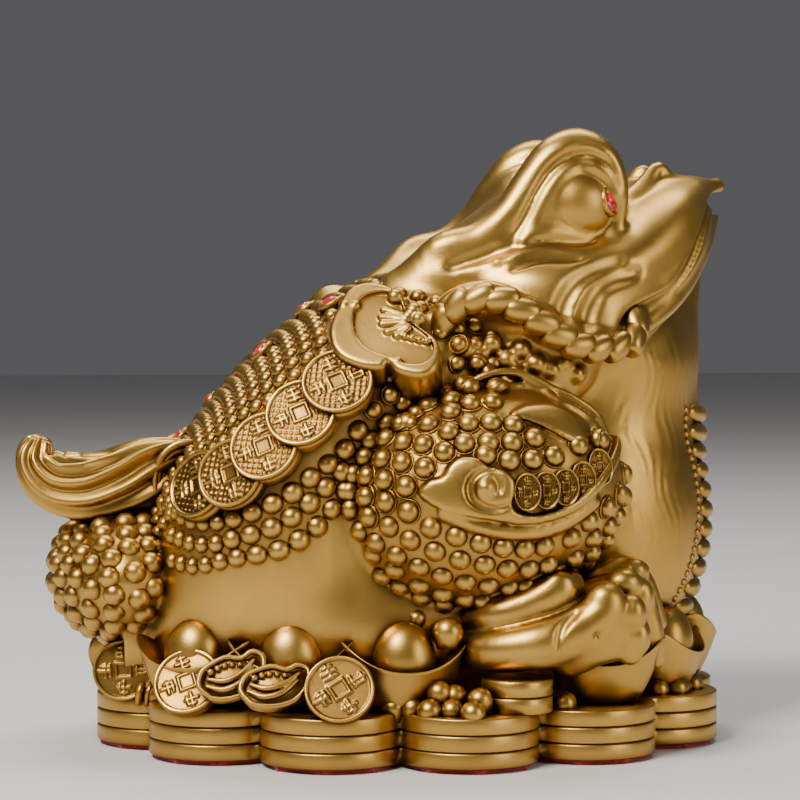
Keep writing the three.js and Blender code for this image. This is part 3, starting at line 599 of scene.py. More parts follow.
# The scroll plate on the shoulder, by the outline that it has from the side.
SCROLL_PLATE = [
    (-9.7, 74.3), (-6.6, 77.9), (-1.9, 79.5), (-0.4, 82.1), (2.5, 85), (6.4, 86), (10.1, 85),
    (12.6, 82.8), (16.5, 81.8), (19.7, 80.2), (21.5, 77.6), (21.4, 73.7), (20.5, 70.5), (22.3, 67.6),
    (29.1, 66.6), (36, 68), (43.1, 71.6), (49.1, 76.2), (53.9, 81), (58.8, 87), (62.6, 91.5),
    (63.4, 88.9), (60.6, 83), (55, 76.6), (48.3, 70.8), (41, 66.6), (32.5, 64.2), (24.3, 63.6),
    (15.7, 64.8), (5.9, 66.4), (-1.1, 68), (-6.7, 70.8),
]
SCROLL_GROOVES = [
    [
        (17, 78.6, 0.7), (15.2, 80.6, 1), (12.6, 81.4, 1.2), (9.6, 80.5, 1.5), (7.3, 78.2, 1.8),
        (6.6, 75.4, 2), (7.6, 72, 1.9), (11, 69.6, 1.5), (15.6, 68.9, 1.2), (19.4, 70.2, 1.1),
    ],
    [(14.6, 79.4, 1), (16.2, 77.2, 1.2), (16, 74.4, 1.1)],
]
SCROLL_CUFF = [(-1, 67), (2.3, 65.6), (10, 62.9), (19.3, 61), (29.4, 61), (37.1, 62.6), (44, 66), (50, 70)]
LEAF_BLADES = [
    [
        (21.6, 99.2), (26.5, 102), (31.3, 102.8), (37, 102.6), (41.5, 100.8), (45.8, 96.2), (48.6, 89.4),
        (44, 89.6), (39.5, 91.6), (33.7, 94.8), (27.5, 97.4),
    ],
]
LEAF_RIDGES = [
    [
        (14, 103.4), (21.2, 107.4), (30.7, 108.2), (36, 106.4), (41.3, 103), (46.9, 100.2), (50.6, 97.6),
        (52.9, 94.6), (52.6, 91),
    ],
    [(9, 108), (17, 112), (26, 113), (33, 110.6), (40.4, 107), (46.9, 104), (54.9, 98), (57.4, 92)],
]

# Rows of beads on the shoulder, from above the scroll plate to below it.
SHOULDER_ROWS = [
    [(-4.5, 105.5), (2.9, 105.6), (10.9, 107.3)],
    [(-11, 102.5), (-3.6, 102), (3, 99.8), (9.8, 102.6), (17.3, 103.2)],
    [(-16.9, 95.6), (-11, 96.5), (-4.5, 96), (1.5, 93.5), (8, 96.3), (15.4, 96.6), (22.8, 95.8)],
    [
        (-22.6, 89.9), (-18, 91), (-13, 90), (-7, 89.5), (-0.6, 87.2), (6, 90), (13.8, 90.2),
        (21.6, 90.2), (29.4, 91.5),
    ],
    [
        (-24.6, 84.6), (-19.7, 84.4), (-14, 83.6), (-7.1, 82), (12.6, 86.2), (20.4, 84.4), (28.2, 84.6),
        (35.8, 85.6),
    ],
    [(-28.3, 78.8), (-24.8, 78.6), (-19.6, 77.6), (-13.2, 75.8)],
    [
        (-29.5, 73.2), (-25.3, 71.9), (-19.4, 70.6), (-12.5, 67.6), (-5.5, 62.2), (2.8, 59.4),
        (10.9, 57.2), (18.6, 55.6), (26, 55), (32.8, 55.6),
    ],
    [
        (-29.4, 67.4), (-24.4, 65.3), (-18.5, 62.2), (-11.8, 57.8), (-3.8, 54.2), (4.5, 51.4),
        (12.8, 49.7), (20.7, 48.2), (28.2, 47.8), (35, 49),
    ],
    [
        (-27, 59.9), (-22.1, 56.4), (-15.5, 52.3), (-8.3, 48.6), (-0.7, 45.6), (7.2, 43.4), (15.1, 42.2),
        (22.8, 41), (30, 41),
    ],
    [(-22.8, 52.2), (-15.6, 47.2), (-7.3, 41.8), (0.6, 38.8), (8.6, 36.6), (16, 35.6)],
]


def on_shoulder(x, z, lift=0.0):
    """The point of the right shoulder's skin at one x and height, both from the deck."""
    cx, cy, cz = SHOULDER["at"]
    rz, ry, rx = SHOULDER["radii"]
    lean = math.radians(SHOULDER["pitch"] - 90)
    along = (x - cx) * math.cos(lean) + (z - cz) * math.sin(lean)
    rise = (z - cz) * math.cos(lean) - (x - cx) * math.sin(lean)
    left = max(0.05, 1 - (along / rx) ** 2 - (rise / rz) ** 2)
    return (x, cy - ry * math.sqrt(left) - lift, z)


def outline_distance(outline, x, z):
    """The distance from points to a closed outline, below zero inside it."""
    best = np.full(np.broadcast(x, z).shape, 1e9)
    inside = np.zeros(best.shape, bool)
    for (ax, az), (bx, bz) in zip(outline, outline[1:] + outline[:1]):
        ux, uz = bx - ax, bz - az
        t = np.clip(((x - ax) * ux + (z - az) * uz) / (ux * ux + uz * uz), 0, 1)
        best = np.minimum(best, (x - ax - t * ux) ** 2 + (z - az - t * uz) ** 2)
        inside ^= ((az > z) != (bz > z)) & (x < ux * (z - az) / (uz if uz else 1e-9) + ax)
    return np.where(inside, -np.sqrt(best), np.sqrt(best))


def rounded(outline, per_span=4):
    """A closed outline through the points with its corners rounded."""
    ring = np.array(outline + outline[:2], float)
    path = smooth_path(ring, per_span)
    return [tuple(p) for p in path[per_span:-1]]


def stamped(outline, lift, base, base_low, base_high):
    """A plate that stands so far out of a base form, within an outline seen from the side."""
    shape = [(x, z + DECK) for x, z in rounded(outline)]
    xs, zs = zip(*shape)

    def distance(x, y, z):
        edge = outline_distance(shape, x, z)
        return -smooth_least(lift - base.distance(x, y, z), -edge + 0 * y, 1.2)

    low = np.array([min(xs), base_low, min(zs)])
    high = np.array([max(xs), base_high, max(zs)])
    return Form(distance, low, high)


def toad_field():
    """The toad's body with its folds, lips, scrolls and paws, as one field of distances."""
    field = Field((-142, -98, DECK - 2), (118, 0, 220), GRID_STEP)
    shoulder = body_ellipsoid(**SHOULDER)

    def lump(at, radii, blend, **turns):
        field.add(body_ellipsoid(at, radii=radii, **turns), blend)

    def fold_over(stations, lift, blend):
        field.add(body_limb(field.laid(stations, lift), per_span=1), blend)

    def crease_in(stations, lift, blend):
        field.carve(body_limb(field.laid(stations, lift), per_span=1), blend)

    field.add(trunk_form(), 0)
    lump((-14, 0, 24), (81, 68, 40), 10)
    lump((62, 0, 60), (46, 48, 62), 8)
    lump((66, 0, 116), (38.5, 42, 37), 14)
    field.add(body_limb(THROAT), 6)
    field.add(body_ellipsoid(**HAUNCH), 4)
    field.add(shoulder, 3)
    for stations in TOES:
        field.add(body_limb(stations), 1.5)
    field.add(body_limb(FOREARM), 1.5)
    for at, radii in PALM:
        lump(at, radii, 4)
    for at, radii in KNUCKLES:
        lump(at, radii, 1)
    wrist = [(x, y, z, r) for (x, y, z), r in zip(WRIST, (1.0, 1.5, 0.9))]
    crease_in(wrist, 0.2, 1.5)
    field.carve(body_ellipsoid((50, -90.5, 26), radii=(1.6, 3, 1.6)), 1)
    field.add(stamped(SCROLL_PLATE, 3.2, shoulder, -100, -50), 0.8)
    for outline in LEAF_BLADES:
        field.add(stamped(outline, 2.4, shoulder, -100, -40), 0.8)
    for groove in SCROLL_GROOVES:
        field.carve(body_limb([(*on_shoulder(x, z, 3.2), r) for x, z, r in groove]), 0.6)
    field.add(body_ellipsoid(on_shoulder(11.9, 75.6, 1.9), radii=(3, 2.8, 3.1)), 0.6)
    field.add(body_limb([(*on_shoulder(x, z, -0.3), 2.6) for x, z in SCROLL_CUFF]), 1.5)
    for ridge in LEAF_RIDGES:
        field.add(body_limb([(*on_shoulder(x, z, 0.6), 1.5) for x, z in ridge]), 1.5)
    lump((40, 0, 149), (47, 42, 26), 6, pitch=38)
    lump((78, 0, 155), (36, 38, 17), 8, pitch=40)
    lump((80, 0, 137), (41, 35, 12), 3, pitch=46)
    lump((44, 0, 138), (46, 58, 27), 6, pitch=-6)
    lump((44, 0, 126), (39, 64, 11), 8, pitch=-8)
    field.add(body_limb(EYE_MOUND), 6)
    field.add(body_limb(BROW_FOOT), 6)
    for fold in UNDER_FOLDS:
        fold_over(fold, -0.35, 4)
    for crease in UNDER_CREASES:
        crease_in(crease, 0.3, 2)
    field.add(body_limb(BROW), 3)
    crease_in(BROW_CREASE, 0.2, 2.5)
    fold_over(LID, -0.4, 2.5)
    lump((54.5, -36, 171), (13.3, 10.5, 12), 1, yaw=12)
    field.add(body_limb(CHEEK_FLANGE), 8)
    for groove in CHEEK_GROOVES:
        crease_in(groove, 0.1, 4)
    lump((84, -9, 173), (13, 10, 8), 4, pitch=20)
    field.add(body_limb(NOSTRIL_RIDGE), 3)
    field.add(body_limb(UPPER_LIP), 7)
    field.add(body_limb(LOWER_LIP), 3)
    crease_in(MOUTH, 0.15, 1)
    field.carve(body_ellipsoid((114, 0, 173), radii=(9.5, 16, 3.7), pitch=18), 0.8)
    field.add(body_limb(ROPE_BED), 3)
    lump((34, -44, 113), (24, 15, 14), 6)
    for at, r in HOLLOW_KNOBS:
        lump(at, (r, r, r), 1.5)
    brush(field)
    return field


def brush(field):
    """Fine upright strokes over the chest and the throat."""
    x, y, z = np.ix_(*field.axes)
    rise = z - DECK
    around = 46 * np.arctan2(y, np.maximum(x - 38, 1))
    sway = 1.6 * np.sin(0.11 * rise + 0.2 * around) + 1.1 * np.sin(0.23 * rise - 0.13 * around)
    stroke = np.sin(2 * math.pi * (around + sway) / 2.9) * (0.6 + 0.4 * np.sin(0.17 * rise + 0.5 * around))
    here = np.clip((rise - 38) / 12, 0, 1) * np.clip((124 - rise + 0.25 * (x - 60)) / 14, 0, 1)
    here = here * np.clip((x - 58) / 10, 0, 1)
    near = np.clip(1.5 - np.abs(field.values) / 3, 0, 1)
    field.values += (0.11 * stroke * here * near).astype(np.float32)


ROPE = [
    (3.5, -56, 130), (5.7, -58, 133.9), (11.2, -60, 137.1), (18, -62, 138.2), (24.4, -63, 136.7),
    (30, -64, 133.2), (35.8, -64, 129.6), (41.8, -63, 125.3), (47.1, -62, 122.4), (54.1, -60, 120.9),
    (62.1, -57, 121.2), (68.7, -54, 123), (72.3, -51, 126.6), (71.6, -49, 129.5),
]
HOLLOW_KNOBS = [
    ((5, -56, 116), 4.6), ((10, -57, 121), 4.2), ((15.5, -57, 118), 3.8), ((20, -57, 122.5), 3.4),
    ((25, -57.5, 117), 3.6), ((30, -58, 120.5), 3.2), ((35, -58, 115.5), 3.4), ((40.5, -57.5, 113.5), 3),
    ((45, -56, 116), 3), ((18, -59, 113), 3.2), ((50, -54, 112), 3.2), ((28, -59, 112.5), 2.8),
]
ROPE_RADIUS = 4.6
ROPE_LINKS = 12
ROPE_LINK_HALF_LENGTH = 6.4
ROPE_BED = [(x, y + 4, z + 2, 4) for x, y, z in ROPE]

# Where ornaments sit on the trunk: (share of its length from the rump, turn from the ridge in
# degrees), and for the lobes of the cloud plate also a radius.
COIN_STRING = [(0.63, 60), (0.55, 64), (0.462, 67), (0.372, 67), (0.282, 60)]
CLOUD_LOBES = [(0.69, 33, 13), (0.75, 46, 10), (0.8, 57, 9)]
BACK_STONES = {
    "back_stone_1": (0.25, -12),
    "back_stone_2": (0.37, -26),
    "back_stone_3": (0.49, 8),
    "back_stone_4": (0.62, -6),
    "back_stone_5": (0.65, 12),
    "back_stone_6": (0.54, -28),
    "back_stone_7": (0.8, -14),
}
BACK_STONE_RADIUS = 3.2
BACK_STONE_LIFT = 2.6
EYE_STONE_RADIUS = 4.0
EYE_STONE = ((65, -41, 172), (0.75, -0.62, 0.2))


def trunk_seat(share, turn):
    """A point of the trunk, and axes there whose third points straight out."""
    along = trunk_point(share + 0.01, turn) - trunk_point(share - 0.01, turn)
    around = trunk_point(share, turn + 1) - trunk_point(share, turn - 1)
    return trunk_point(share, turn), seat_matrix(np.cross(around, along))


BEAD_SUNK = 0.3


def bead(radius, sides=14):
    """A round bead, sunk by about a third."""
    turns = np.radians(np.linspace(-35, 78, 6))
    body = [(radius * math.cos(t), radius * (math.sin(t) - BEAD_SUNK)) for t in turns]
    foot, top = (radius * 0.7, -(1 + BEAD_SUNK) * radius), (0, (1 - BEAD_SUNK) * radius)
    return turned([foot] + body + [top], sides)


def stud(radius, sides=14):
    """A dome in a shallow moat with a raised rim round it."""
    rim = [(1.17, -0.7), (1.16, 0.04), (1.11, 0.12), (1.05, 0.1), (0.99, 0.0)]
    dome = [(math.cos(t), 0.02 + 0.84 * math.sin(t)) for t in np.radians([8, 26, 44, 62, 80])]
    profile = [(radius * r, radius * h) for r, h in rim + dome] + [(0, radius * 0.86)]
    return turned(profile, sides)


def strokes():
    """Short bars in four clusters about a coin's middle: shallow strokes that spell nothing."""
    lay = [(-0.17, 0.44, 0.17, 0.44), (-0.2, 0.6, 0.2, 0.6), (-0.1, 0.76, 0.14, 0.76)]
    lay += [(0.0, 0.4, 0.0, 0.82), (0.14, 0.5, 0.14, 0.7)]
    bars = []
    for quarter, chosen in enumerate(((0, 1, 2, 3), (0, 1, 3, 4), (1, 2, 3, 4), (0, 2, 3, 4))):
        c, s = math.cos(math.pi / 2 * quarter), math.sin(math.pi / 2 * quarter)
        for x0, y0, x1, y1 in [lay[i] for i in chosen]:
            bars.append((x0 * c - y0 * s, x0 * s + y0 * c, x1 * c - y1 * s, x1 * s + y1 * c))
    return bars


STROKES = strokes()


def coin_relief(u, v, stipple):
    """The height of a coin's face at places on it, where its edge is 1 from the middle."""
    away = np.hypot(u, v)
    height = RELIEF * np.clip((away - 0.9) / 0.03, 0, 1)
    square = np.maximum(np.abs(u), np.abs(v))
    height = np.maximum(height, MARK_HEIGHT * np.clip((0.05 - np.abs(square - 0.24)) / 0.03, 0, 1))
    for x0, y0, x1, y1 in STROKES:
        ux, uy = x1 - x0, y1 - y0
        t = np.clip(((u - x0) * ux + (v - y0) * uy) / (ux * ux + uy * uy), 0, 1)
        near = np.hypot(u - x0 - t * ux, v - y0 - t * uy)
        height = np.maximum(height, MARK_HEIGHT * np.clip((0.055 - near) / 0.03, 0, 1))
    grain = np.clip(np.cos(26 * (u + 0.3 * v)) * np.cos(26 * (v - 0.3 * u)), 0, 1)
    ground = (away < 0.88) & (square > 0.2)
    return height + stipple * grain * (ground & (height < 0.1))


def coin(radius, thickness, cells=56, stipple=0.0, grooved=True, sunk=3.0):
    """A coin with a raised rim, a square hole and marks on its face, its back at -sunk."""
    cells = cells
    line = np.linspace(-1, 1, cells + 1)
    a, b = np.meshgrid(line, line, indexing="ij")
    u, v = a * np.sqrt(1 - b * b / 2), b * np.sqrt(1 - a * a / 2)
    height = thickness - RELIEF + coin_relief(u, v, stipple)
    top = np.stack([u * radius, v * radius, height], axis=-1).reshape(-1, 3)
    n = np.arange((cells + 1) ** 2).reshape(cells + 1, cells + 1)
    corners = (n[:-1, :-1], n[1:, :-1], n[1:, 1:], n[:-1, 1:])
    faces = np.stack(corners, axis=-1).reshape(-1, 4).tolist()
    edge = [*n[:-1, 0], *n[-1, :-1], *n[:0:-1, -1], *n[0, :0:-1]]
    edge = [int(v) for v in edge]
    rim = top[edge][:, :2]
    half = thickness * 0.45
    steps = [(1.025, thickness - 0.35), (1.025, half + 0.5)]
    if grooved:
        steps += [(0.985, half + 0.15), (0.985, half - 0.15), (1.025, half - 0.5)]
    steps += [(1.025, -sunk)]
    points = [top]
    rings = [edge]
    count = len(top)
    for scale, z in steps:
        points.append(np.column_stack([rim * scale, np.full(len(rim), z)]))
        rings.append(list(range(count, count + len(rim))))
        count += len(rim)
    points.append(np.array([[0, 0, -sunk]]))
    for upper, lower in zip(rings, rings[1:]):
        for c in range(len(edge)):
            d = (c + 1) % len(edge)
            faces.append([upper[d], upper[c], lower[c], lower[d]])
    for c in range(len(edge)):
        d = (c + 1) % len(edge)
        faces.append([rings[-1][d], rings[-1][c], count])
    return np.vstack(points), faces


def coin_patina_and_shade(form, thickness):
    """How dark each point of a coin is painted: the sunk ground of its face, not its raised marks, as patina
    with painted shade in the recess.
    """
    heights = form[0][:, 2]
    low = np.clip((thickness - 0.25 - heights) / 0.4, 0, 1)
    return 0.42 * low * (heights > thickness - 1)


def ingot():
    """A boat with two raised ends and an egg-shaped crown: its hull, then its crown."""
    sides = 48
    turns = np.linspace(0, 2 * math.pi, sides, endpoint=False)

    def oval(share, height, rise=0.0, narrow=0.1):
        x = INGOT_LENGTH / 2 * share * np.cos(turns)
        y = INGOT_WIDTH / 2 * (share + narrow * (1 - share)) * np.sin(turns)
        return np.stack([x, y, height + rise * INGOT_END_RISE * np.abs(np.cos(turns)) ** 2.4], axis=1)

    rim = INGOT_RIM_HEIGHT
    hull = [oval(0.3, -1), oval(0.45, -0.6)]
    hull += [oval(0.45 + 0.53 * t**0.75, rim * t - 0.4, t * t) for t in np.linspace(0.1, 0.95, 7)]
    hull += [oval(0.995, rim - 0.3, 1), oval(0.985, rim + 0.1, 1.02), oval(0.95, rim - 0.3, 1)]
    hull += [oval(0.85, rim - 1.4, 0.82), oval(0.7, rim - 3.2, 0.5), oval(0.45, rim - 4.5, 0.2)]
    crown = []
    length, width, tall = CROWN_RADII
    for t in np.radians(np.linspace(-60, 84, 13)):
        x, y = length * math.cos(t) * np.cos(turns), width * math.cos(t) * np.sin(turns)
        crown.append(np.stack([x, y, np.full(sides, CROWN_MIDDLE + tall * math.sin(t))], axis=1))
    return closed_skin(hull), closed_skin(crown, (0, 0, 4), (0, 0, CROWN_MIDDLE + tall + 0.1))


STACK_ANGLES = np.radians(FIRST_STACK_ANGLE + 360 / STACKS * np.arange(STACKS))
STACK_WAYS = np.stack([np.cos(STACK_ANGLES), np.sin(STACK_ANGLES)], axis=1)
STACK_CENTRES = STACK_WAYS * (RING_HALF_LENGTH, RING_HALF_WIDTH)


def ring_way(angle):
    """The way from the middle to the ring of stacks' centres at an angle."""
    turn = math.radians(angle)
    return np.array([RING_HALF_LENGTH * math.cos(turn), RING_HALF_WIDTH * math.sin(turn)])


def near_rim(angle, inset, height=0.0):
    """A place on the deck at an angle, so far in from the rim."""
    way = ring_way(angle)
    square = way @ way
    reach = []
    for centre in STACK_CENTRES:
        along = way @ centre / square
        beside = (COIN_RADIUS**2 - centre @ centre) / square + along**2
        reach.append(0 if beside < 0 else along + math.sqrt(beside))
    return np.array([*(way * (max(reach) - inset / math.sqrt(square))), DECK + height])


def on_deck(angle, share, height=0.0):
    return np.array([*(ring_way(angle) * share), DECK + height])


def turned_z(angle):
    return turn_about((0, 0, 1), angle)


def shade(name):
    """A new material, its nodes and its shader."""
    made = bpy.data.materials.new(name)
    made.use_nodes = True
    tree = made.node_tree
    return made, tree, tree.nodes["Principled BSDF"]


def node(tree, kind, links=(), **values):
    """A shader node with its links. Values named in_ are those of its sockets."""
    made = tree.nodes.new("ShaderNode" + kind)
    for key, value in values.items():
        if key.startswith("in_"):
            made.inputs[key[3:].replace("_", " ")].default_value = value
        else:
            setattr(made, key, value)
    for socket, source in links:
        tree.links.new(source, made.inputs[socket])
    return made


def ramp(tree, source, stops):
    """The colours of (place, colour) stops, read at a source."""
    made = node(tree, "ValToRGB", [("Fac", source)])
    stack = made.color_ramp.elements
    while len(stack) > 1:
        stack.remove(stack[-1])
    stack[0].position, stack[0].color = stops[0][0], (*stops[0][1], 1)
    for place, colour in stops[1:]:
        stack.new(place).color = (*colour, 1)
    return made.outputs["Color"]


def noise(tree, scale, detail):
    places = node(tree, "TexCoord").outputs["Object"]
    made = node(tree, "TexNoise", [("Vector", places)], in_Scale=scale, in_Detail=detail, in_Roughness=0.55)
    return made.outputs["Fac"]


def grey(value):
    return (value, value, value)


def brass_material():
    """Satin brass: darker and browner in its hollows, by painted shade from ambient occlusion and by patina,
    a little uneven, with a fine grain.
    """
    made, tree, shader = shade("satin_brass")
    # Painted shade: ambient occlusion darkens the colour in hollows, creases and between beads, where shade
    # falls, and stands in for patina as well.
    painted_hollow_shade = node(tree, "AmbientOcclusion", samples=8, in_Distance=0.005).outputs["AO"]
    patina_and_shade_share = node(tree, "Attribute", attribute_name="patina").outputs["Fac"]
    # The per-point attribute darkens further: patina with painted shade on the sunk grounds of coins.
    unshaded_share = node(tree, "Math", operation="SUBTRACT", use_clamp=True)
    tree.links.new(painted_hollow_shade, unshaded_share.inputs[0])
    tree.links.new(patina_and_shade_share, unshaded_share.inputs[1])
    # Colours from the darkest painted shade and patina up to open brass.
    stops = [(0.22, (0.055, 0.022, 0.005)), (0.64, (0.3, 0.16, 0.036)), (0.94, (0.61, 0.375, 0.088))]
    patina = ramp(tree, unshaded_share.outputs["Value"], stops)
    blotches = ramp(tree, noise(tree, 28, 4), [(0.3, (0.86, 0.8, 0.72)), (0.7, (1, 1, 1))])
    both = [("Color1", patina), ("Color2", blotches)]
    colour = node(tree, "MixRGB", both, blend_type="MULTIPLY", in_Fac=1.0)
    tree.links.new(colour.outputs["Color"], shader.inputs["Base Color"])
    rough = ramp(tree, noise(tree, 45, 5), [(0.3, grey(0.3)), (0.72, grey(0.43))])
    tree.links.new(rough, shader.inputs["Roughness"])
    grain = node(tree, "Bump", [("Height", noise(tree, 1400, 2))], in_Strength=0.22, in_Distance=0.0002)
    tree.links.new(grain.outputs["Normal"], shader.inputs["Normal"])
    shader.inputs["Metallic"].default_value = 1.0
    return made


def felt_material():
    made, tree, shader = shade("red_felt")
    colour = ramp(tree, noise(tree, 700, 4), [(0.35, (0.2, 0.008, 0.012)), (0.65, (0.42, 0.02, 0.028))])
    tree.links.new(colour, shader.inputs["Base Color"])
    fuzz = node(tree, "Bump", [("Height", noise(tree, 1800, 3))], in_Strength=0.5, in_Distance=0.0004)
    tree.links.new(fuzz.outputs["Normal"], shader.inputs["Normal"])
    shader.inputs["Roughness"].default_value = 0.95
    shader.inputs["Sheen Weight"].default_value = 0.4
    return made


def glass_material():
    made, tree, shader = shade("red_glass")
    colour = ramp(tree, noise(tree, 260, 2), [(0.3, (0.42, 0.004, 0.01)), (0.7, (0.85, 0.02, 0.03))])
    tree.links.new(colour, shader.inputs["Base Color"])
    shader.inputs["Roughness"].default_value = 0.04
    shader.inputs["IOR"].default_value = 1.62
    shader.inputs["Coat Weight"].default_value = 0.6
    return made


def floor_material():
    made, tree, shader = shade("pale_floor")
    colour = ramp(tree, noise(tree, 6, 3), [(0.3, (0.66, 0.65, 0.63)), (0.7, (0.7, 0.69, 0.67))])
    tree.links.new(colour, shader.inputs["Base Color"])
    shader.inputs["Roughness"].default_value = 0.75
    return made


BRASS = brass_material()
GLASS = glass_material()


def cast(made):
    """Hides the CAD part toad_casting, which the brass pieces stand in for, and gives the piece back."""
    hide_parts("toad_casting")
    return made


FIELD_VALUES, FIELD_LOW = toad_field().whole()


def depth_at(points):
    """How far points are outside of the toad."""
    return sample(FIELD_VALUES, FIELD_LOW, GRID_STEP, np.asarray(points, float))


def first_inside(line):
    """The first point of a line that is inside the toad, or the line's last point."""
    inside = np.flatnonzero(depth_at(line) < 0)
    return line[inside[0]] if len(inside) else line[-1]


def onto_skin(points):
    """The points moved onto the toad's skin, and the skin's normals there."""
    points = settle(FIELD_VALUES, FIELD_LOW, GRID_STEP, np.asarray(points, float), 4)
    return points, slope(FIELD_VALUES, FIELD_LOW, GRID_STEP, points)


def thin_out(made, most):
    """Thins a mesh until it has about so many triangles."""
    triangles = sum(len(p.vertices) - 2 for p in made.data.polygons)
    if triangles <= most:
        return
    thinning = made.modifiers.new("thin", "DECIMATE")
    thinning.ratio = most / triangles
    graph = bpy.context.evaluated_depsgraph_get()
    after = bpy.data.meshes.new_from_object(made.evaluated_get(graph))
    made.modifiers.clear()
    before = made.data
    made.data = after
    bpy.data.meshes.remove(before)
    after.polygons.foreach_set("use_smooth", [True] * len(after.polygons))


def largest_part(points, faces):
    """The faces of the biggest connected part, so that nothing loose is left inside it."""
    owner = np.arange(len(points))
    while True:
        least = owner[faces].min(axis=1)
        new = owner.copy()
        for corner in range(faces.shape[1]):
            np.minimum.at(new, faces[:, corner], least)
        new = new[new]
        if (new == owner).all():
            break
        owner = new
    labels, counts = np.unique(owner[faces[:, 0]], return_counts=True)
    kept = faces[owner[faces[:, 0]] == labels[counts.argmax()]]
    used = np.unique(kept)
    renumbered = np.full(len(points), -1)
    renumbered[used] = np.arange(len(used))
    return points[used], renumbered[kept]


skin_points, skin_faces = surface(FIELD_VALUES, FIELD_LOW, GRID_STEP)
skin_points, skin_faces = largest_part(skin_points, skin_faces)
skin_points = settle(FIELD_VALUES, FIELD_LOW, GRID_STEP, skin_points)
toad_skin = cast(piece("toad_skin", skin_points, skin_faces, BRASS))
thin_out(toad_skin, SKIN_TRIANGLES)

right_coins = [trunk_seat(share, turn) for share, turn in COIN_STRING]


def clear_of_ornaments(spot, margin):
    """Whether a place on the trunk is clear of the coins, the plate and the stones."""
    mirrored = np.array([spot[0], -abs(spot[1]), spot[2]])
    if any(np.linalg.norm(mirrored - here) < STRING_COIN_RADIUS + margin for here, _ in right_coins):
        return False
    if any(np.linalg.norm(mirrored - trunk_point(s, t)) < r + margin - 1 for s, t, r in CLOUD_LOBES):
        return False
    least = BACK_STONE_RADIUS + 1.5 + margin * 0.8
    return all(np.linalg.norm(spot - trunk_point(s, t)) > least for s, t in BACK_STONES.values())


def trunk_beads():
    """Rows of beads across the trunk, set against each other like bricks."""
    found = []
    shares = []
    share = 0.0
    length = np.linalg.norm(np.diff(TRUNK_LINE[:, [0, 2]], axis=0), axis=1).sum()
    while share < 1.02:
        shares.append(share)
        share += 0.84 * bead_spacing(share) / length
    for row, share in enumerate(shares):
        spacing = bead_spacing(share)
        turns = np.linspace(0, np.interp(share, [0, 0.27, 0.6, 0.75, 1], [62, 60, 62, 80, 80]), 300)
        line = np.array([trunk_point(min(share, 1), t) for t in turns])
        run = lengths_along(line)
        places = np.arange(0.5 if row % 2 else 0.0, run[-1] / spacing, 1.0) * spacing
        for at in places:
            turn = np.interp(at, run, turns)
            for sign in (1, -1) if at > 0 else (1,):
                spot = trunk_point(min(share, 1), sign * turn)
                if spot[2] > DECK + BACK_BEADS_LOWEST and clear_of_ornaments(spot, spacing * 0.45):
                    found.append((spot, spacing))
    return found


def bead_spacing(share):
    return float(np.interp(share, [0, 0.3, 0.75, 1], [6.0, 6.5, 6.9, 7.4]))


def scattered(allowed, spacing, least=4000):
    """Places on the skin, evenly spread where allowed says, by seeded draws that then push apart."""
    corners = skin_points[skin_faces]
    middles = corners.mean(axis=1)
    inside = allowed(middles)
    spans = np.cross(corners[inside, 2] - corners[inside, 0], corners[inside, 3] - corners[inside, 1])
    count = int(0.5 * np.linalg.norm(spans, axis=1).sum() / (0.866 * spacing**2))
    near = middles[inside]
    near = near[rng.permutation(len(near))][: max(least, 40 * count)]
    taken = near[:1]
    gap = np.linalg.norm(near - taken[0], axis=1)
    for _ in range(count - 1):
        taken = np.vstack([taken, near[gap.argmax()]])
        gap = np.minimum(gap, np.linalg.norm(near - taken[-1], axis=1))
    for _ in range(30):
        owner = ((taken**2).sum(axis=1) - 2 * near @ taken.T).argmin(axis=1)
        sums = np.stack([np.bincount(owner, near[:, k], len(taken)) for k in range(3)], axis=1)
        counts = np.bincount(owner, minlength=len(taken))[:, None]
        taken = onto_skin(np.where(counts > 0, sums / np.maximum(counts, 1), taken))[0]
    return taken


def nearest_gap(points, others):
    """How far each point is from the nearest of the others."""
    squares = (points**2).sum(axis=1)[:, None] + (others**2).sum(axis=1) - 2 * points @ others.T
    return np.sqrt(np.maximum(squares.min(axis=1), 0))


def shoulder_skin(points):
    """Which points are skin of the right shoulder, clear of the scroll, the small coins and the leaves."""
    x, y, z = points.T
    shoulder = body_ellipsoid(**SHOULDER).distance(x, y, z)
    rise = z - DECK
    on_it = (np.abs(shoulder) < 1.2) & (y < -48) & (rise > 30)
    plate = outline_distance(rounded(SCROLL_PLATE), x, rise) < 3.4
    coins = outline_distance([(20, 66), (60, 78), (66, 92), (50, 86), (40, 84), (20, 83)], x, rise) < 2
    leaves = (rise > 88) & (x > 22)
    return on_it & ~plate & ~coins & ~(leaves & (rise > 86 + 0.1 * x))


def haunch_skin(points):
    x, y, z = points.T
    haunch = body_ellipsoid(**HAUNCH).distance(x, y, z)
    return (np.abs(haunch) < 1.2) & (x < -84) & (z > DECK + 6)


def set_beads(name, places, make, both_sides=False):
    """One piece of beads from (radius, spots) pairs, each set square to the skin."""
    parts = Parts()
    for radius, spots in places:
        points, faces = make(radius)
        spots, normals = onto_skin(spots)
        for spot, normal in zip(spots, normals):
            (parts.put_mirrored if both_sides else parts.put)(points, faces, seat_matrix(normal), spot)
    return parts.cast_as(name)


back = trunk_beads()
back_spots, back_spacings = np.array([s for s, _ in back]), np.array([g for _, g in back])
buried = depth_at(back_spots) < BURIED
back_spots, back_spacings = back_spots[~buried], back_spacings[~buried]
STUD_BANDS = ((0, 6.4), (6.4, 6.8), (6.8, 7.1), (7.1, 9))
bands = [(back_spacings >= low) & (back_spacings < high) for low, high in STUD_BANDS]
studs = [(back_spacings[band].mean() * STUD_SHARE, back_spots[band]) for band in bands if band.any()]
set_beads("back_beads", studs, lambda radius: stud(radius, 12))

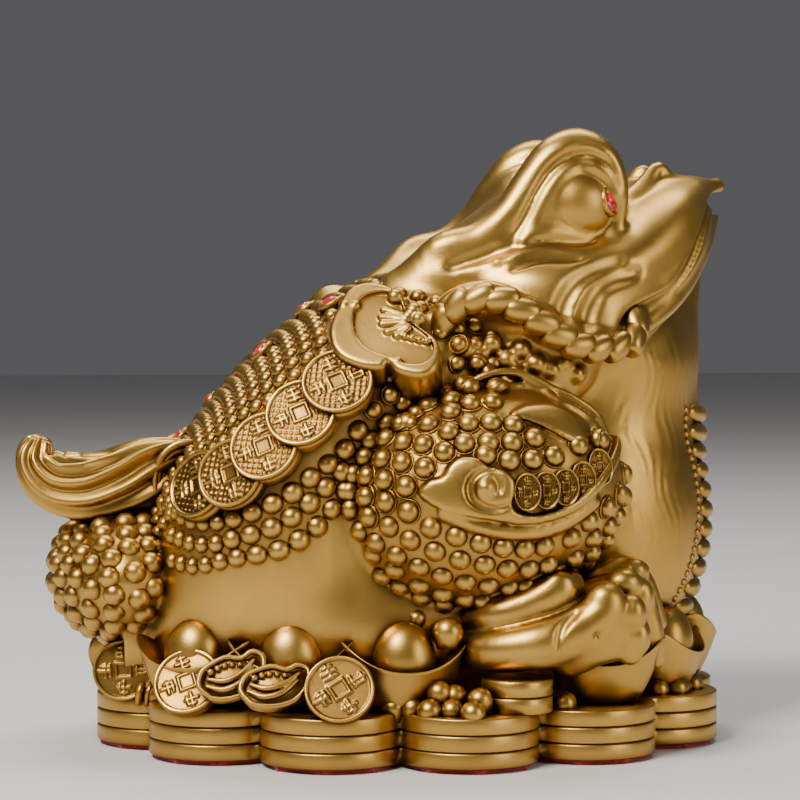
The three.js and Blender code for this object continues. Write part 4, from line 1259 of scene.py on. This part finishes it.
row_spots = onto_skin([lifted(on_shoulder(x, z)) for row in SHOULDER_ROWS for x, z in row])[0]


def beyond_rows(points):
    return shoulder_skin(points) & (nearest_gap(points, row_spots) > ROW_CLEARANCE)


beyond = scattered(beyond_rows, 8.0)
shoulder_spots = np.vstack([row_spots, beyond[nearest_gap(beyond, row_spots) > ROW_CLEARANCE]])
upper = shoulder_spots[:, 2] > DECK + UPPER_BEADS_FROM
set_beads("shoulder_beads_upper", [(UPPER_BEAD_RADIUS, shoulder_spots[upper])], stud, True)
set_beads("shoulder_beads_lower", [(LOWER_BEAD_RADIUS, shoulder_spots[~upper])], bead, True)
set_beads("haunch_beads", [(HAUNCH_BEAD_RADIUS, scattered(haunch_skin, 8.7, 6000))], bead)

# The strings of beads on the flanks, (x, height) from rear to front.
FLANK_STRINGS = [
    [
        (-89, 66.5), (-82.5, 62.5), (-75, 62.5), (-66, 65), (-55, 70), (-48.8, 73.5), (-41, 80),
        (-33, 85.5), (-28, 92), (-23, 99),
    ],
    [
        (-88, 57), (-81, 55), (-73.5, 55.7), (-67, 58), (-60, 59.8), (-54, 62.5), (-47.5, 66.5),
        (-41.5, 71.5), (-35.7, 77), (-30, 82),
    ],
    [
        (-88, 48.6), (-81, 47.5), (-73.5, 49.5), (-65, 51.7), (-56, 53.2), (-48.5, 56.4), (-41, 61.7),
        (-35.7, 67.7), (-31, 74),
    ],
]


def right_side_at(x, rise):
    """The outermost point of the toad's right side at one x and height from the deck."""
    return first_inside(np.linspace((x, -96, DECK + rise), (x, -8, DECK + rise), 177))


def strung_beads(parts, line, pitch, height):
    """Beads against each other along a line on the skin, pitch and height given for each x."""
    lengths = lengths_along(line)
    at = 0.0
    while at < lengths[-1]:
        behind, spot, ahead = (
            np.array([np.interp(at + shift, lengths, column) for column in line.T]) for shift in (-1, 0, 1)
        )
        spots, normals = onto_skin([spot])
        out = normals[0]
        along = unit(ahead - behind)
        across = unit(np.cross(out, along))
        along = np.cross(across, out)
        step = np.interp(spot[0], *pitch)
        tall = np.interp(spot[0], *height) * rng.uniform(0.95, 1.05)
        points, faces = bead(1.0)
        matrix = np.stack([along * step * 0.53, across * tall, out * tall], axis=1)
        parts.put_mirrored(points, faces, matrix, spots[0])
        at += step


flank = Parts()
for string in FLANK_STRINGS:
    line = np.array([right_side_at(x, z) for x, z in even_path(smooth_path(string, 8), 60)])
    strung_beads(flank, line, ([-90, -62], [4.6, 7.8]), ([-90, -62], [3.1, 3.9]))
flank.cast_as("flank_beads")

# The coins that hang on the flanks from the cloud plate.
strung = Parts()
for place, (share, turn) in enumerate(COIN_STRING):
    spot, axes = trunk_seat(share, turn)
    ahead = min(place + 1, len(COIN_STRING) - 1)
    following = trunk_point(*COIN_STRING[ahead]) - trunk_point(*COIN_STRING[ahead - 1])
    hinge = np.cross(axes[:, 2], unit(following))
    axes = turn_about(hinge, -7) @ axes @ turned_z(28)
    form = coin(STRING_COIN_RADIUS, STRING_COIN_THICKNESS, stipple=0.35, sunk=2.5)
    # The sunk ground of each face painted darker: patina with painted shade.
    dark = coin_patina_and_shade(form, STRING_COIN_THICKNESS)
    strung.put_mirrored(*form, axes, spot + axes[:, 2] * 1.2, dark)
strung.cast_as("strung_coins")

# The small coins under the scroll on the shoulders.
small = Parts()
for x, z in [(26, 74.1), (32.5, 74.6), (39.2, 75.4), (45.5, 77.4), (52.2, 81.2)]:
    spot, normal = onto_skin([lifted(on_shoulder(x, z))])
    axes = turned_z(-16) @ seat_matrix(normal[0])
    points, faces = coin(SHOULDER_COIN_RADIUS, SHOULDER_COIN_THICKNESS, 32, 0.3, grooved=False)
    # The sunk ground of each face painted darker: patina with painted shade.
    dark = coin_patina_and_shade((points, faces), SHOULDER_COIN_THICKNESS)
    small.put_mirrored(points * (0.72, 1, 1), faces, axes, spot[0] + normal[0] * 0.5, dark)
small.cast_as("shoulder_coins")


def local_solid(name, forms, low, high, step, axes, at, mirrored=True, carved=(), raised=()):
    """A piece from forms in a small frame of its own, set into the figure, on both sides when mirrored."""
    step = step * 1
    ticks = [np.arange(lo, hi + step, step) for lo, hi in zip(low, high)]
    values = np.full([len(t) for t in ticks], 20.0)
    x, y, z = ticks[0][:, None, None], ticks[1][None, :, None], ticks[2][None, None, :]
    for sign, group in ((1, forms), (-1, carved), (1, raised)):
        for form, blend in group:
            values = sign * smooth_least(sign * values, form.distance(x, y, z), blend)
    corner = np.array([t[0] for t in ticks])
    points, faces = surface(values, corner, step)
    points = settle(values, corner, step, points)
    parts = Parts()
    (parts.put_mirrored if mirrored else parts.put)(points, faces.tolist(), axes, at)
    return parts.cast_as(name)


# The cloud plate in its own plane, as seen from straight above it.
CLOUD = [
    (-20.4, 0.7), (-19.4, -5.2), (-16.2, -10.2), (-10.7, -13.5), (-5.4, -14.9), (-1.1, -14.5),
    (0.2, -12.6), (2.6, -15.6), (6.6, -17.5), (11.9, -18.2), (15.7, -16.1), (17.6, -11.8), (17.6, -6.8),
    (15.4, -2.2), (12.6, 0.6), (8.8, 4.5), (5.6, 10.1), (4.5, 15.2), (1.3, 18.7), (-2.8, 21.1),
    (-8.3, 22), (-12.9, 20.4), (-15.8, 17), (-17.3, 12.2), (-19.6, 5.8),
]
CLOUD_FLOOR = [
    (-9.3, 15.2), (-11.2, 11.8), (-12.1, 7.5), (-11.7, 1.6), (-10.2, -3.1), (-7, -6.9), (-3.6, -8.9),
    (-0.3, -10.2), (2.4, -11), (4.4, -12.7), (8.4, -13.7), (12, -13.1), (14.6, -10.2), (15.1, -6),
    (14, -2.6), (11.3, 0.6), (7.9, 3.7), (5.1, 7.5), (3.5, 13.5), (0, 17), (-4.7, 17.4),
]
CLOUD_FINGERS = [
    [(5.1, 6.6), (1.5, 9), (-2.1, 10.3)],
    [(5.1, 5.6), (1, 6.8), (-2.8, 7.2)],
    [(5.2, 4.5), (1.4, 4.4), (-2.4, 4.2)],
    [(5.9, 3), (2.6, 1.8), (-0.6, 0.8)],
    [(6.6, 2), (4.6, 0.4), (2.6, -0.9)],
]
CLOUD_KNOBS = [
    (-15.6, 11.8, 1.9), (-11.9, 11.8, 1.9), (1.6, 15.7, 2.9), (8, 9.6, 3), (9.8, 6.2, 2.6),
    (6.2, 7.2, 2.2), (5.4, -1.4, 1.3), (7.8, -2, 1.4), (10.3, -2.8, 1.4), (12.9, -3.4, 1.5),
    (3.6, -11.6, 1.6),
]


def plate_form(outline, bottom, top, round_by):
    """A flat plate within an outline, with a rounded upper edge."""
    shape = rounded(outline, 3)

    def distance(x, y, z):
        side = outline_distance(shape, x, y) + round_by + 0 * z
        up = z - top + round_by
        beyond = np.hypot(np.maximum(side, 0), np.maximum(up, 0))
        within = np.minimum(np.maximum(side, up), 0)
        return np.maximum(beyond + within - round_by, bottom - z)

    return Form(distance, (-40, -40, bottom), (40, 40, top))


plate_spot, plate_axes = trunk_seat(0.74, 50)
raised = []
for line in CLOUD_FINGERS:
    finger = [(x, y, 1.4 - 0.3 * k, 1.25 + 0.15 * (k == 2)) for k, (x, y) in enumerate(line)]
    raised.append((limb(finger, 4), 0.4))
raised += [(ellipsoid((x, y, 1.2), (r, r, r)), 0.3) for x, y, r in CLOUD_KNOBS]
local_solid(
    "cloud_plate",
    [(plate_form(CLOUD, -14, 2.6, 2.0), 0)],
    (-24, -22, -13),
    (21, 25, 6),
    0.55,
    plate_axes,
    plate_spot + plate_axes[:, 2] * 3.0,
    carved=[(plate_form(CLOUD_FLOOR, 0.7, 9, 0.1), 0.7)],
    raised=raised,
)

# The curled tail, which takes the place of the third leg, and its cuff of bands.
TAIL_LOBE = [
    (-70, -8, 74, 7), (-80, -9, 77, 11), (-92, -10, 76, 12.5), (-106, -13, 72.5, 12),
    (-119, -15, 71.5, 11.5), (-129, -15, 75, 10), (-133.5, -14, 82, 7.5), (-132, -13, 88, 4.5),
]
tail = Parts()
path = even_path(smooth_path([(x, y, z + DECK, r) for x, y, z, r in TAIL_LOBE], 12), 90)
points, faces = swept(path[:, :3], path[:, 3], 96, flutes=9, depth=0.24, twist=0.3, up=(0, 1, 0.01))
tail.put_mirrored(points, faces)
tail.cast_as("tail_lobes")

CUFF_BANDS = 5
cuff = Parts()
for k in range(CUFF_BANDS):
    bend = np.radians(np.linspace(-60, 200, 24))
    radius = 4 + 2.4 * k
    x, z = -84 + 0.5 * k + 0.8 * radius * np.cos(bend), DECK + 74 + radius * np.sin(bend)
    line = np.stack([x, -16 - 1.2 * k + 0 * bend, z], axis=1)
    girth = np.interp(bend, [bend[0], 0.8, bend[-1]], [0.8, 2.0, 0.8])
    cuff.put_mirrored(*swept(line, girth, up=(0, 1, 0)))
cuff.cast_as("tail_cuff")

# The rope along the mantle, link by link, with a curl at its front end.
rope = Parts()
line = even_path(smooth_path([(x, y, z + DECK) for x, y, z in ROPE], 12), ROPE_LINKS)
tangents = unit(np.gradient(line, axis=0))
around = np.linspace(0, 2 * math.pi, 20, endpoint=False)
rings = []
for t in np.radians(np.linspace(-80, 80, 13)):
    thick = ROPE_RADIUS * math.cos(t) ** 0.42
    along = np.full(20, ROPE_LINK_HALF_LENGTH * math.sin(t))
    rings.append(np.stack([along, thick * np.cos(around), thick * np.sin(around)], axis=1))
link = closed_skin(rings)
for spot, along in zip(line, tangents):
    out = unit(np.cross(np.cross(along, (0, -1, 0.2)), along))
    axes = np.stack([along, np.cross(out, along), out], axis=1)
    rope.put_mirrored(*link, axes @ turned_z(22), spot)
curl_points, curl_faces = bead(3.4, 18)
rope.put_mirrored(curl_points, curl_faces, seat_matrix((0.3, -1, 0.2)), lifted(ROPE[-1]))
rope.cast_as("mantle_rope")


def front_at(sideways, rise):
    """The foremost point of the toad's front at one distance from the middle and one height."""
    y, z = -abs(sideways), DECK + rise
    return first_inside(np.linspace((124, y, z), (60, y, z), 257)) * (1, 1 if sideways < 0 else -1, 1)


# The chest shield: ribs across, and a line of beads down each side.
SHIELD_RIBS = 11
SHIELD_PITCH = 6.9
SHIELD_LOWEST = 27.0
SHIELD_HALF_WIDTH = 27.0
SHIELD_TAPER = 0.1
shield = Parts()
for k in range(SHIELD_RIBS):
    rise = SHIELD_LOWEST + SHIELD_PITCH * k
    half = SHIELD_HALF_WIDTH - SHIELD_TAPER * (rise - SHIELD_LOWEST)
    sideways = np.linspace(-half, half, 25)
    spots = np.array([front_at(y, rise + 1.4 * (y / half) ** 2) for y in sideways])
    girth = 3.9 * np.clip(1.3 - (sideways / half) ** 6, 0.5, 1)
    shield.put(*swept(spots - (1.2, 0, 0), girth))
for side in (1, -1):
    for k in range(26):
        rise = 26 + 2.9 * k
        spot = front_at(side * (SHIELD_HALF_WIDTH + 4 - SHIELD_TAPER * (rise - SHIELD_LOWEST)), rise)
        shield.put(*bead(1.5, 8), seat_matrix((0.7, side * 0.7, 0)), spot)
shield.cast_as("chest_shield")


def ring_outline(radius, steps=16):
    """The outline of the ring of stacks: arcs of one radius from notch to notch."""
    found = []
    for k in range(STACKS):
        here, before, after = STACK_CENTRES[k], STACK_CENTRES[k - 1], STACK_CENTRES[(k + 1) % STACKS]
        ends = []
        for one, other in ((before, here), (here, after)):
            half = np.linalg.norm(other - one) / 2
            outwards = unit(np.array([other[1] - one[1], one[0] - other[0]]))
            notch = (one + other) / 2 + outwards * math.sqrt(radius**2 - half**2)
            ends.append(math.atan2(*(notch - here)[::-1]))
        sweep = (ends[1] - ends[0]) % (2 * math.pi)
        for i in range(steps):
            turn = ends[0] + sweep * i / steps
            found.append((here[0] + radius * math.cos(turn), here[1] + radius * math.sin(turn)))
    return np.array(found)


# The stacks of coins, as one ring of three layers with a notch between stacks.
stacks = Parts()
rings = []
for layer in range(COINS_PER_STACK):
    low = FELT_THICKNESS + layer * COIN_THICKNESS
    high = low + COIN_THICKNESS
    profile = [(0.95, low + 0.05), (0.9, low + 0.16), (0.12, low + 0.3), (0.0, low + 0.6)]
    profile += [(0.0, high - 0.75), (0.15, high - 0.35), (0.9, high - 0.05)]
    for inset, height in profile:
        outline = ring_outline(COIN_RADIUS - inset)
        rings.append(np.column_stack([outline, np.full(len(outline), height)]))
stacks.put(*closed_skin(rings, (0, 0, FELT_THICKNESS), (0, 0, DECK)))
stacks.cast_as("coin_stacks")

# The ingots along each side: x, y, turn. One more lies across the front.
INGOTS = [(-81, -50, -30), (-49.5, -62.5, -12), (-12, -71, 0), (57.8, -62.1, -10), (87.1, -32.9, 62)]
hull, crown = ingot()
ingots = Parts()
for x, y, turn in INGOTS:
    for form in (hull, crown):
        ingots.put_mirrored(*form, turned_z(turn), lifted((x, y, 0)))
for form in (hull, crown):
    ingots.put(*form, turned_z(90), on_deck(0, 1.12, 2))
ingots.cast_as("ingots")

# The pearls along the rim: angle, how far in from it, height.
PEARLS = [
    (-157, 5, 0), (-96, 7, 0), (-89, 9, 0), (-88, 15, 4), (-83, 14, 0), (-65, 10, 0), (-34, 13, 0),
    (-27, 12, 0), (-160.5, 7, 0), (-154.5, 4.5, 0), (-100, 6, 0), (-93, 6, 0), (-86, 4.5, 0),
    (-31, 10, 0), (-23, 9, 0), (-18, 9, 0), (-91, 12, 5.5), (-84, 10, 3.5),
]
pearls = Parts()
points, faces = bead(PEARL_RADIUS, 20)
for angle, inset, height in PEARLS:
    pearls.put(points, faces, None, near_rim(angle, inset, height + 0.55 * PEARL_RADIUS))
for place, size in [((2.2, -74, 27.6), 1.2), ((-7.1, -66, 30.9), 0.75)]:
    pearls.put(points * size, faces, None, lifted(place))
for x, y in [(-98, -29), (-94.9, -30.2), (-91.8, -31.4), (-88.7, -32.6)]:
    axes = turned_z(-20) @ turn_about((0, 1, 0), 12)
    pearls.put(points * (0.42, 0.8, 0.9), faces, axes, lifted((x, y, 2.6)))
pearls.cast_as("pearls")

# Each leaning coin: place, the way it faces, how far it stands up, spin, radius.
LUCKY_COINS = [
    ((-104, -25.5, 9), -98, 76, 4, 10.4),
    ((-84, -62, 9.2), -112, 60, 24, LUCKY_COIN_RADIUS),
    ((-35.7, -85, 8.8), -98, 63, 32, LUCKY_COIN_RADIUS),
]
lucky = Parts()
for at, facing, lean, spin, radius in LUCKY_COINS:
    points, faces = coin(radius, LUCKY_COIN_THICKNESS, sunk=2.0, grooved=False)
    # The sunk ground painted darker, less than on the strung coins: patina with painted shade.
    dark = 0.6 * coin_patina_and_shade((points, faces), LUCKY_COIN_THICKNESS)
    matrix = turned_z(facing + 90) @ turn_about((1, 0, 0), lean) @ turned_z(spin)
    lucky.put_mirrored(points, faces, matrix, lifted(at), dark)
lucky.cast_as("lucky_coins")

# Two coins that lie flat on the rim.
pile = Parts()
for layer in range(2):
    low = DECK + layer * COIN_THICKNESS - 0.3
    high = low + COIN_THICKNESS
    profile = [(0, low), (11.6, low), (12, low + 0.4)]
    profile += [(12, high - 0.8), (11.7, high - 0.35), (11, high), (0, high)]
    pile.put(*turned(profile, 48), None, (*ring_way(-75) * 1.1, 0))
pile.cast_as("coin_pile")

# The leaf-shaped charms on the rim: place, roll, lean.
CHARMS = [((-70, -70, 12.2), 16, 64), ((-56.5, -79.5, 10), 6, 58)]
CHARM_OUTLINE = [
    (-11.5, -1), (-8.5, -6), (-1, -7.8), (6, -6.4), (10.5, -1.5), (11.5, 4), (8.5, 6), (4.5, 4.6),
    (0, 6.4), (-5, 5.6), (-9.5, 3.6),
]
CHARM_FOLDS = [
    [(-9, -1.5, 1.2, 0.7), (-4, -4.4, 2.0, 1.1), (2, -3.6, 2.2, 1.1), (7.5, 0.5, 1.6, 0.7)],
    [(-8, 0.8, 1.2, 0.7), (-3, -1.6, 2.2, 1.1), (3, -0.6, 2.2, 1.0), (8.5, 3, 1.6, 0.6)],
]
charm_edge = rounded(CHARM_OUTLINE, 5)


def charm_slab(x, y, z):
    edge = outline_distance(charm_edge, x, y) + 0 * z
    top = z - 1.6 + 0.02 * (x * x + y * y)
    return -smooth_least(-edge, -np.maximum(top, -4.5 - z), 1.5)


charm = [(Form(charm_slab, (-12, -9, -4), (12, 9, 2)), 0)]
charm += [(limb([(x, y, 1.6, 0.95) for x, y in charm_edge[::2] + charm_edge[:1]], 1), 0.6)]
charm += [(limb(fold), 0.5) for fold in CHARM_FOLDS]
for k in range(5):
    r = 1.25 - 0.08 * k
    charm += [(ellipsoid((-6.5 + 2.5 * k, 2.6 + 0.9 * math.sin(0.8 * k), 2.0), (r, r, r)), 0.2)]
for place, (at, roll, lean) in enumerate(CHARMS):
    axes = turned_z(-6) @ turn_about((1, 0, 0), lean) @ turned_z(roll)
    low, high = (-14, -10, -5.5), (14, 9, 4.5)
    local_solid(f"leaf_charm_{place + 1}", charm, low, high, 0.42, axes, lifted(at), mirrored=False)

# The stones, each with a ring of brass round it.
bezels = Parts()


def gem(radius, rim=7):
    """A brilliant's crown over a straight girdle."""
    turns = np.linspace(0, 2 * math.pi, rim * 2, endpoint=False)

    rings = [flat_ring(radius, -2.4, turns), flat_ring(radius, 0, turns)]
    rings += [flat_ring(radius * 0.78, 0.85, turns + math.pi / rim / 2), flat_ring(radius * 0.5, 1.4, turns)]
    return closed_skin(rings, (0, 0, -2.4), (0, 0, 1.42))


def set_stone(name, radius, spot, axes):
    """A stone in the place of its solid, and its ring of brass among the bezels."""
    points, faces = gem(radius)
    stone = piece(name + "_gem", points @ axes.T + spot, faces, GLASS, smooth=False)
    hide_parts(name)
    turns = np.linspace(0, 2 * math.pi, 28, endpoint=False)
    profile = [(0.2, -2), (0.15, 0.15), (0.5, 0.5), (1.1, 0.45), (1.5, 0), (1.7, -2.4)]
    rings = [flat_ring(radius + wider, height, turns) for wider, height in profile]
    bezels.put(*ring_band(rings), axes, spot)


def ring_band(rings):
    """A band round an opening: rings joined into a closed loop."""
    around = len(rings[0])
    points = np.vstack(rings)
    faces = []
    for r in range(len(rings)):
        s = (r + 1) % len(rings)
        for c in range(around):
            d = (c + 1) % around
            faces.append([r * around + d, r * around + c, s * around + c, s * around + d])
    return points, faces


# The stones of the back and the eyes.
for name, (share, turn) in BACK_STONES.items():
    spot, axes = trunk_seat(share, turn)
    set_stone(name, BACK_STONE_RADIUS, spot + axes[:, 2] * BACK_STONE_LIFT, axes)
for name, sign in (("right_eye_stone", 1), ("left_eye_stone", -1)):
    (x, y, z), (fx, fy, fz) = EYE_STONE
    set_stone(name, EYE_STONE_RADIUS, lifted((x, sign * y, z)), seat_matrix((fx, sign * fy, fz)))
bezels.cast_as("stone_bezels")

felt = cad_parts["felt_pad"]
felt.data.materials.clear()
felt.data.materials.append(felt_material())

# The floor, the camera and the lights, in metres.
floor = placed("floor", bpy.data.meshes.new("floor"))
floor.data.from_pydata([(-3, -2, 0), (3, -2, 0), (3, 5, 0), (-3, 5, 0)], [], [(0, 1, 2, 3)])
floor.data.materials.append(floor_material())

camera = placed("camera", bpy.data.cameras.new("camera"))
CAMERA_PLACE = (-0.1427, -0.9898, 0.155)
LOOK_DOWN = 2
LOOK_ASIDE = 8
camera.location = CAMERA_PLACE
camera.rotation_euler = (math.radians(90 - LOOK_DOWN), 0, math.radians(-LOOK_ASIDE))
camera.data.lens = 125
camera.data.sensor_width = 36
bpy.context.scene.camera = camera


def softbox(name, place, towards, size, watts, colour=(1, 1, 1)):
    data = bpy.data.lights.new(name, "AREA")
    data.shape = "RECTANGLE"
    data.size, data.size_y = size
    data.energy = watts
    data.color = colour
    lamp = placed(name, data)
    lamp.location = place
    axes = seat_matrix(np.array(place) - np.array(towards))
    lamp.rotation_euler = Matrix(axes.tolist()).to_euler()


softbox("key", (-0.75, -0.75, 1.25), (0, 0, 0.12), (0.6, 0.6), 34, (1, 0.97, 0.92))
softbox("fill", (1.3, -1.2, 0.6), (0, 0, 0.1), (0.7, 1.1), 9, (1, 0.95, 0.88))
softbox("top", (0.1, 0.5, 1.5), (0, 0, 0.1), (1.2, 0.6), 16)

world = bpy.data.worlds.new("studio")
world.use_nodes = True
world.node_tree.nodes["Background"].inputs["Color"].default_value = (0.1, 0.1, 0.104, 1)
world.node_tree.nodes["Background"].inputs["Strength"].default_value = 1.0
bpy.context.scene.world = world
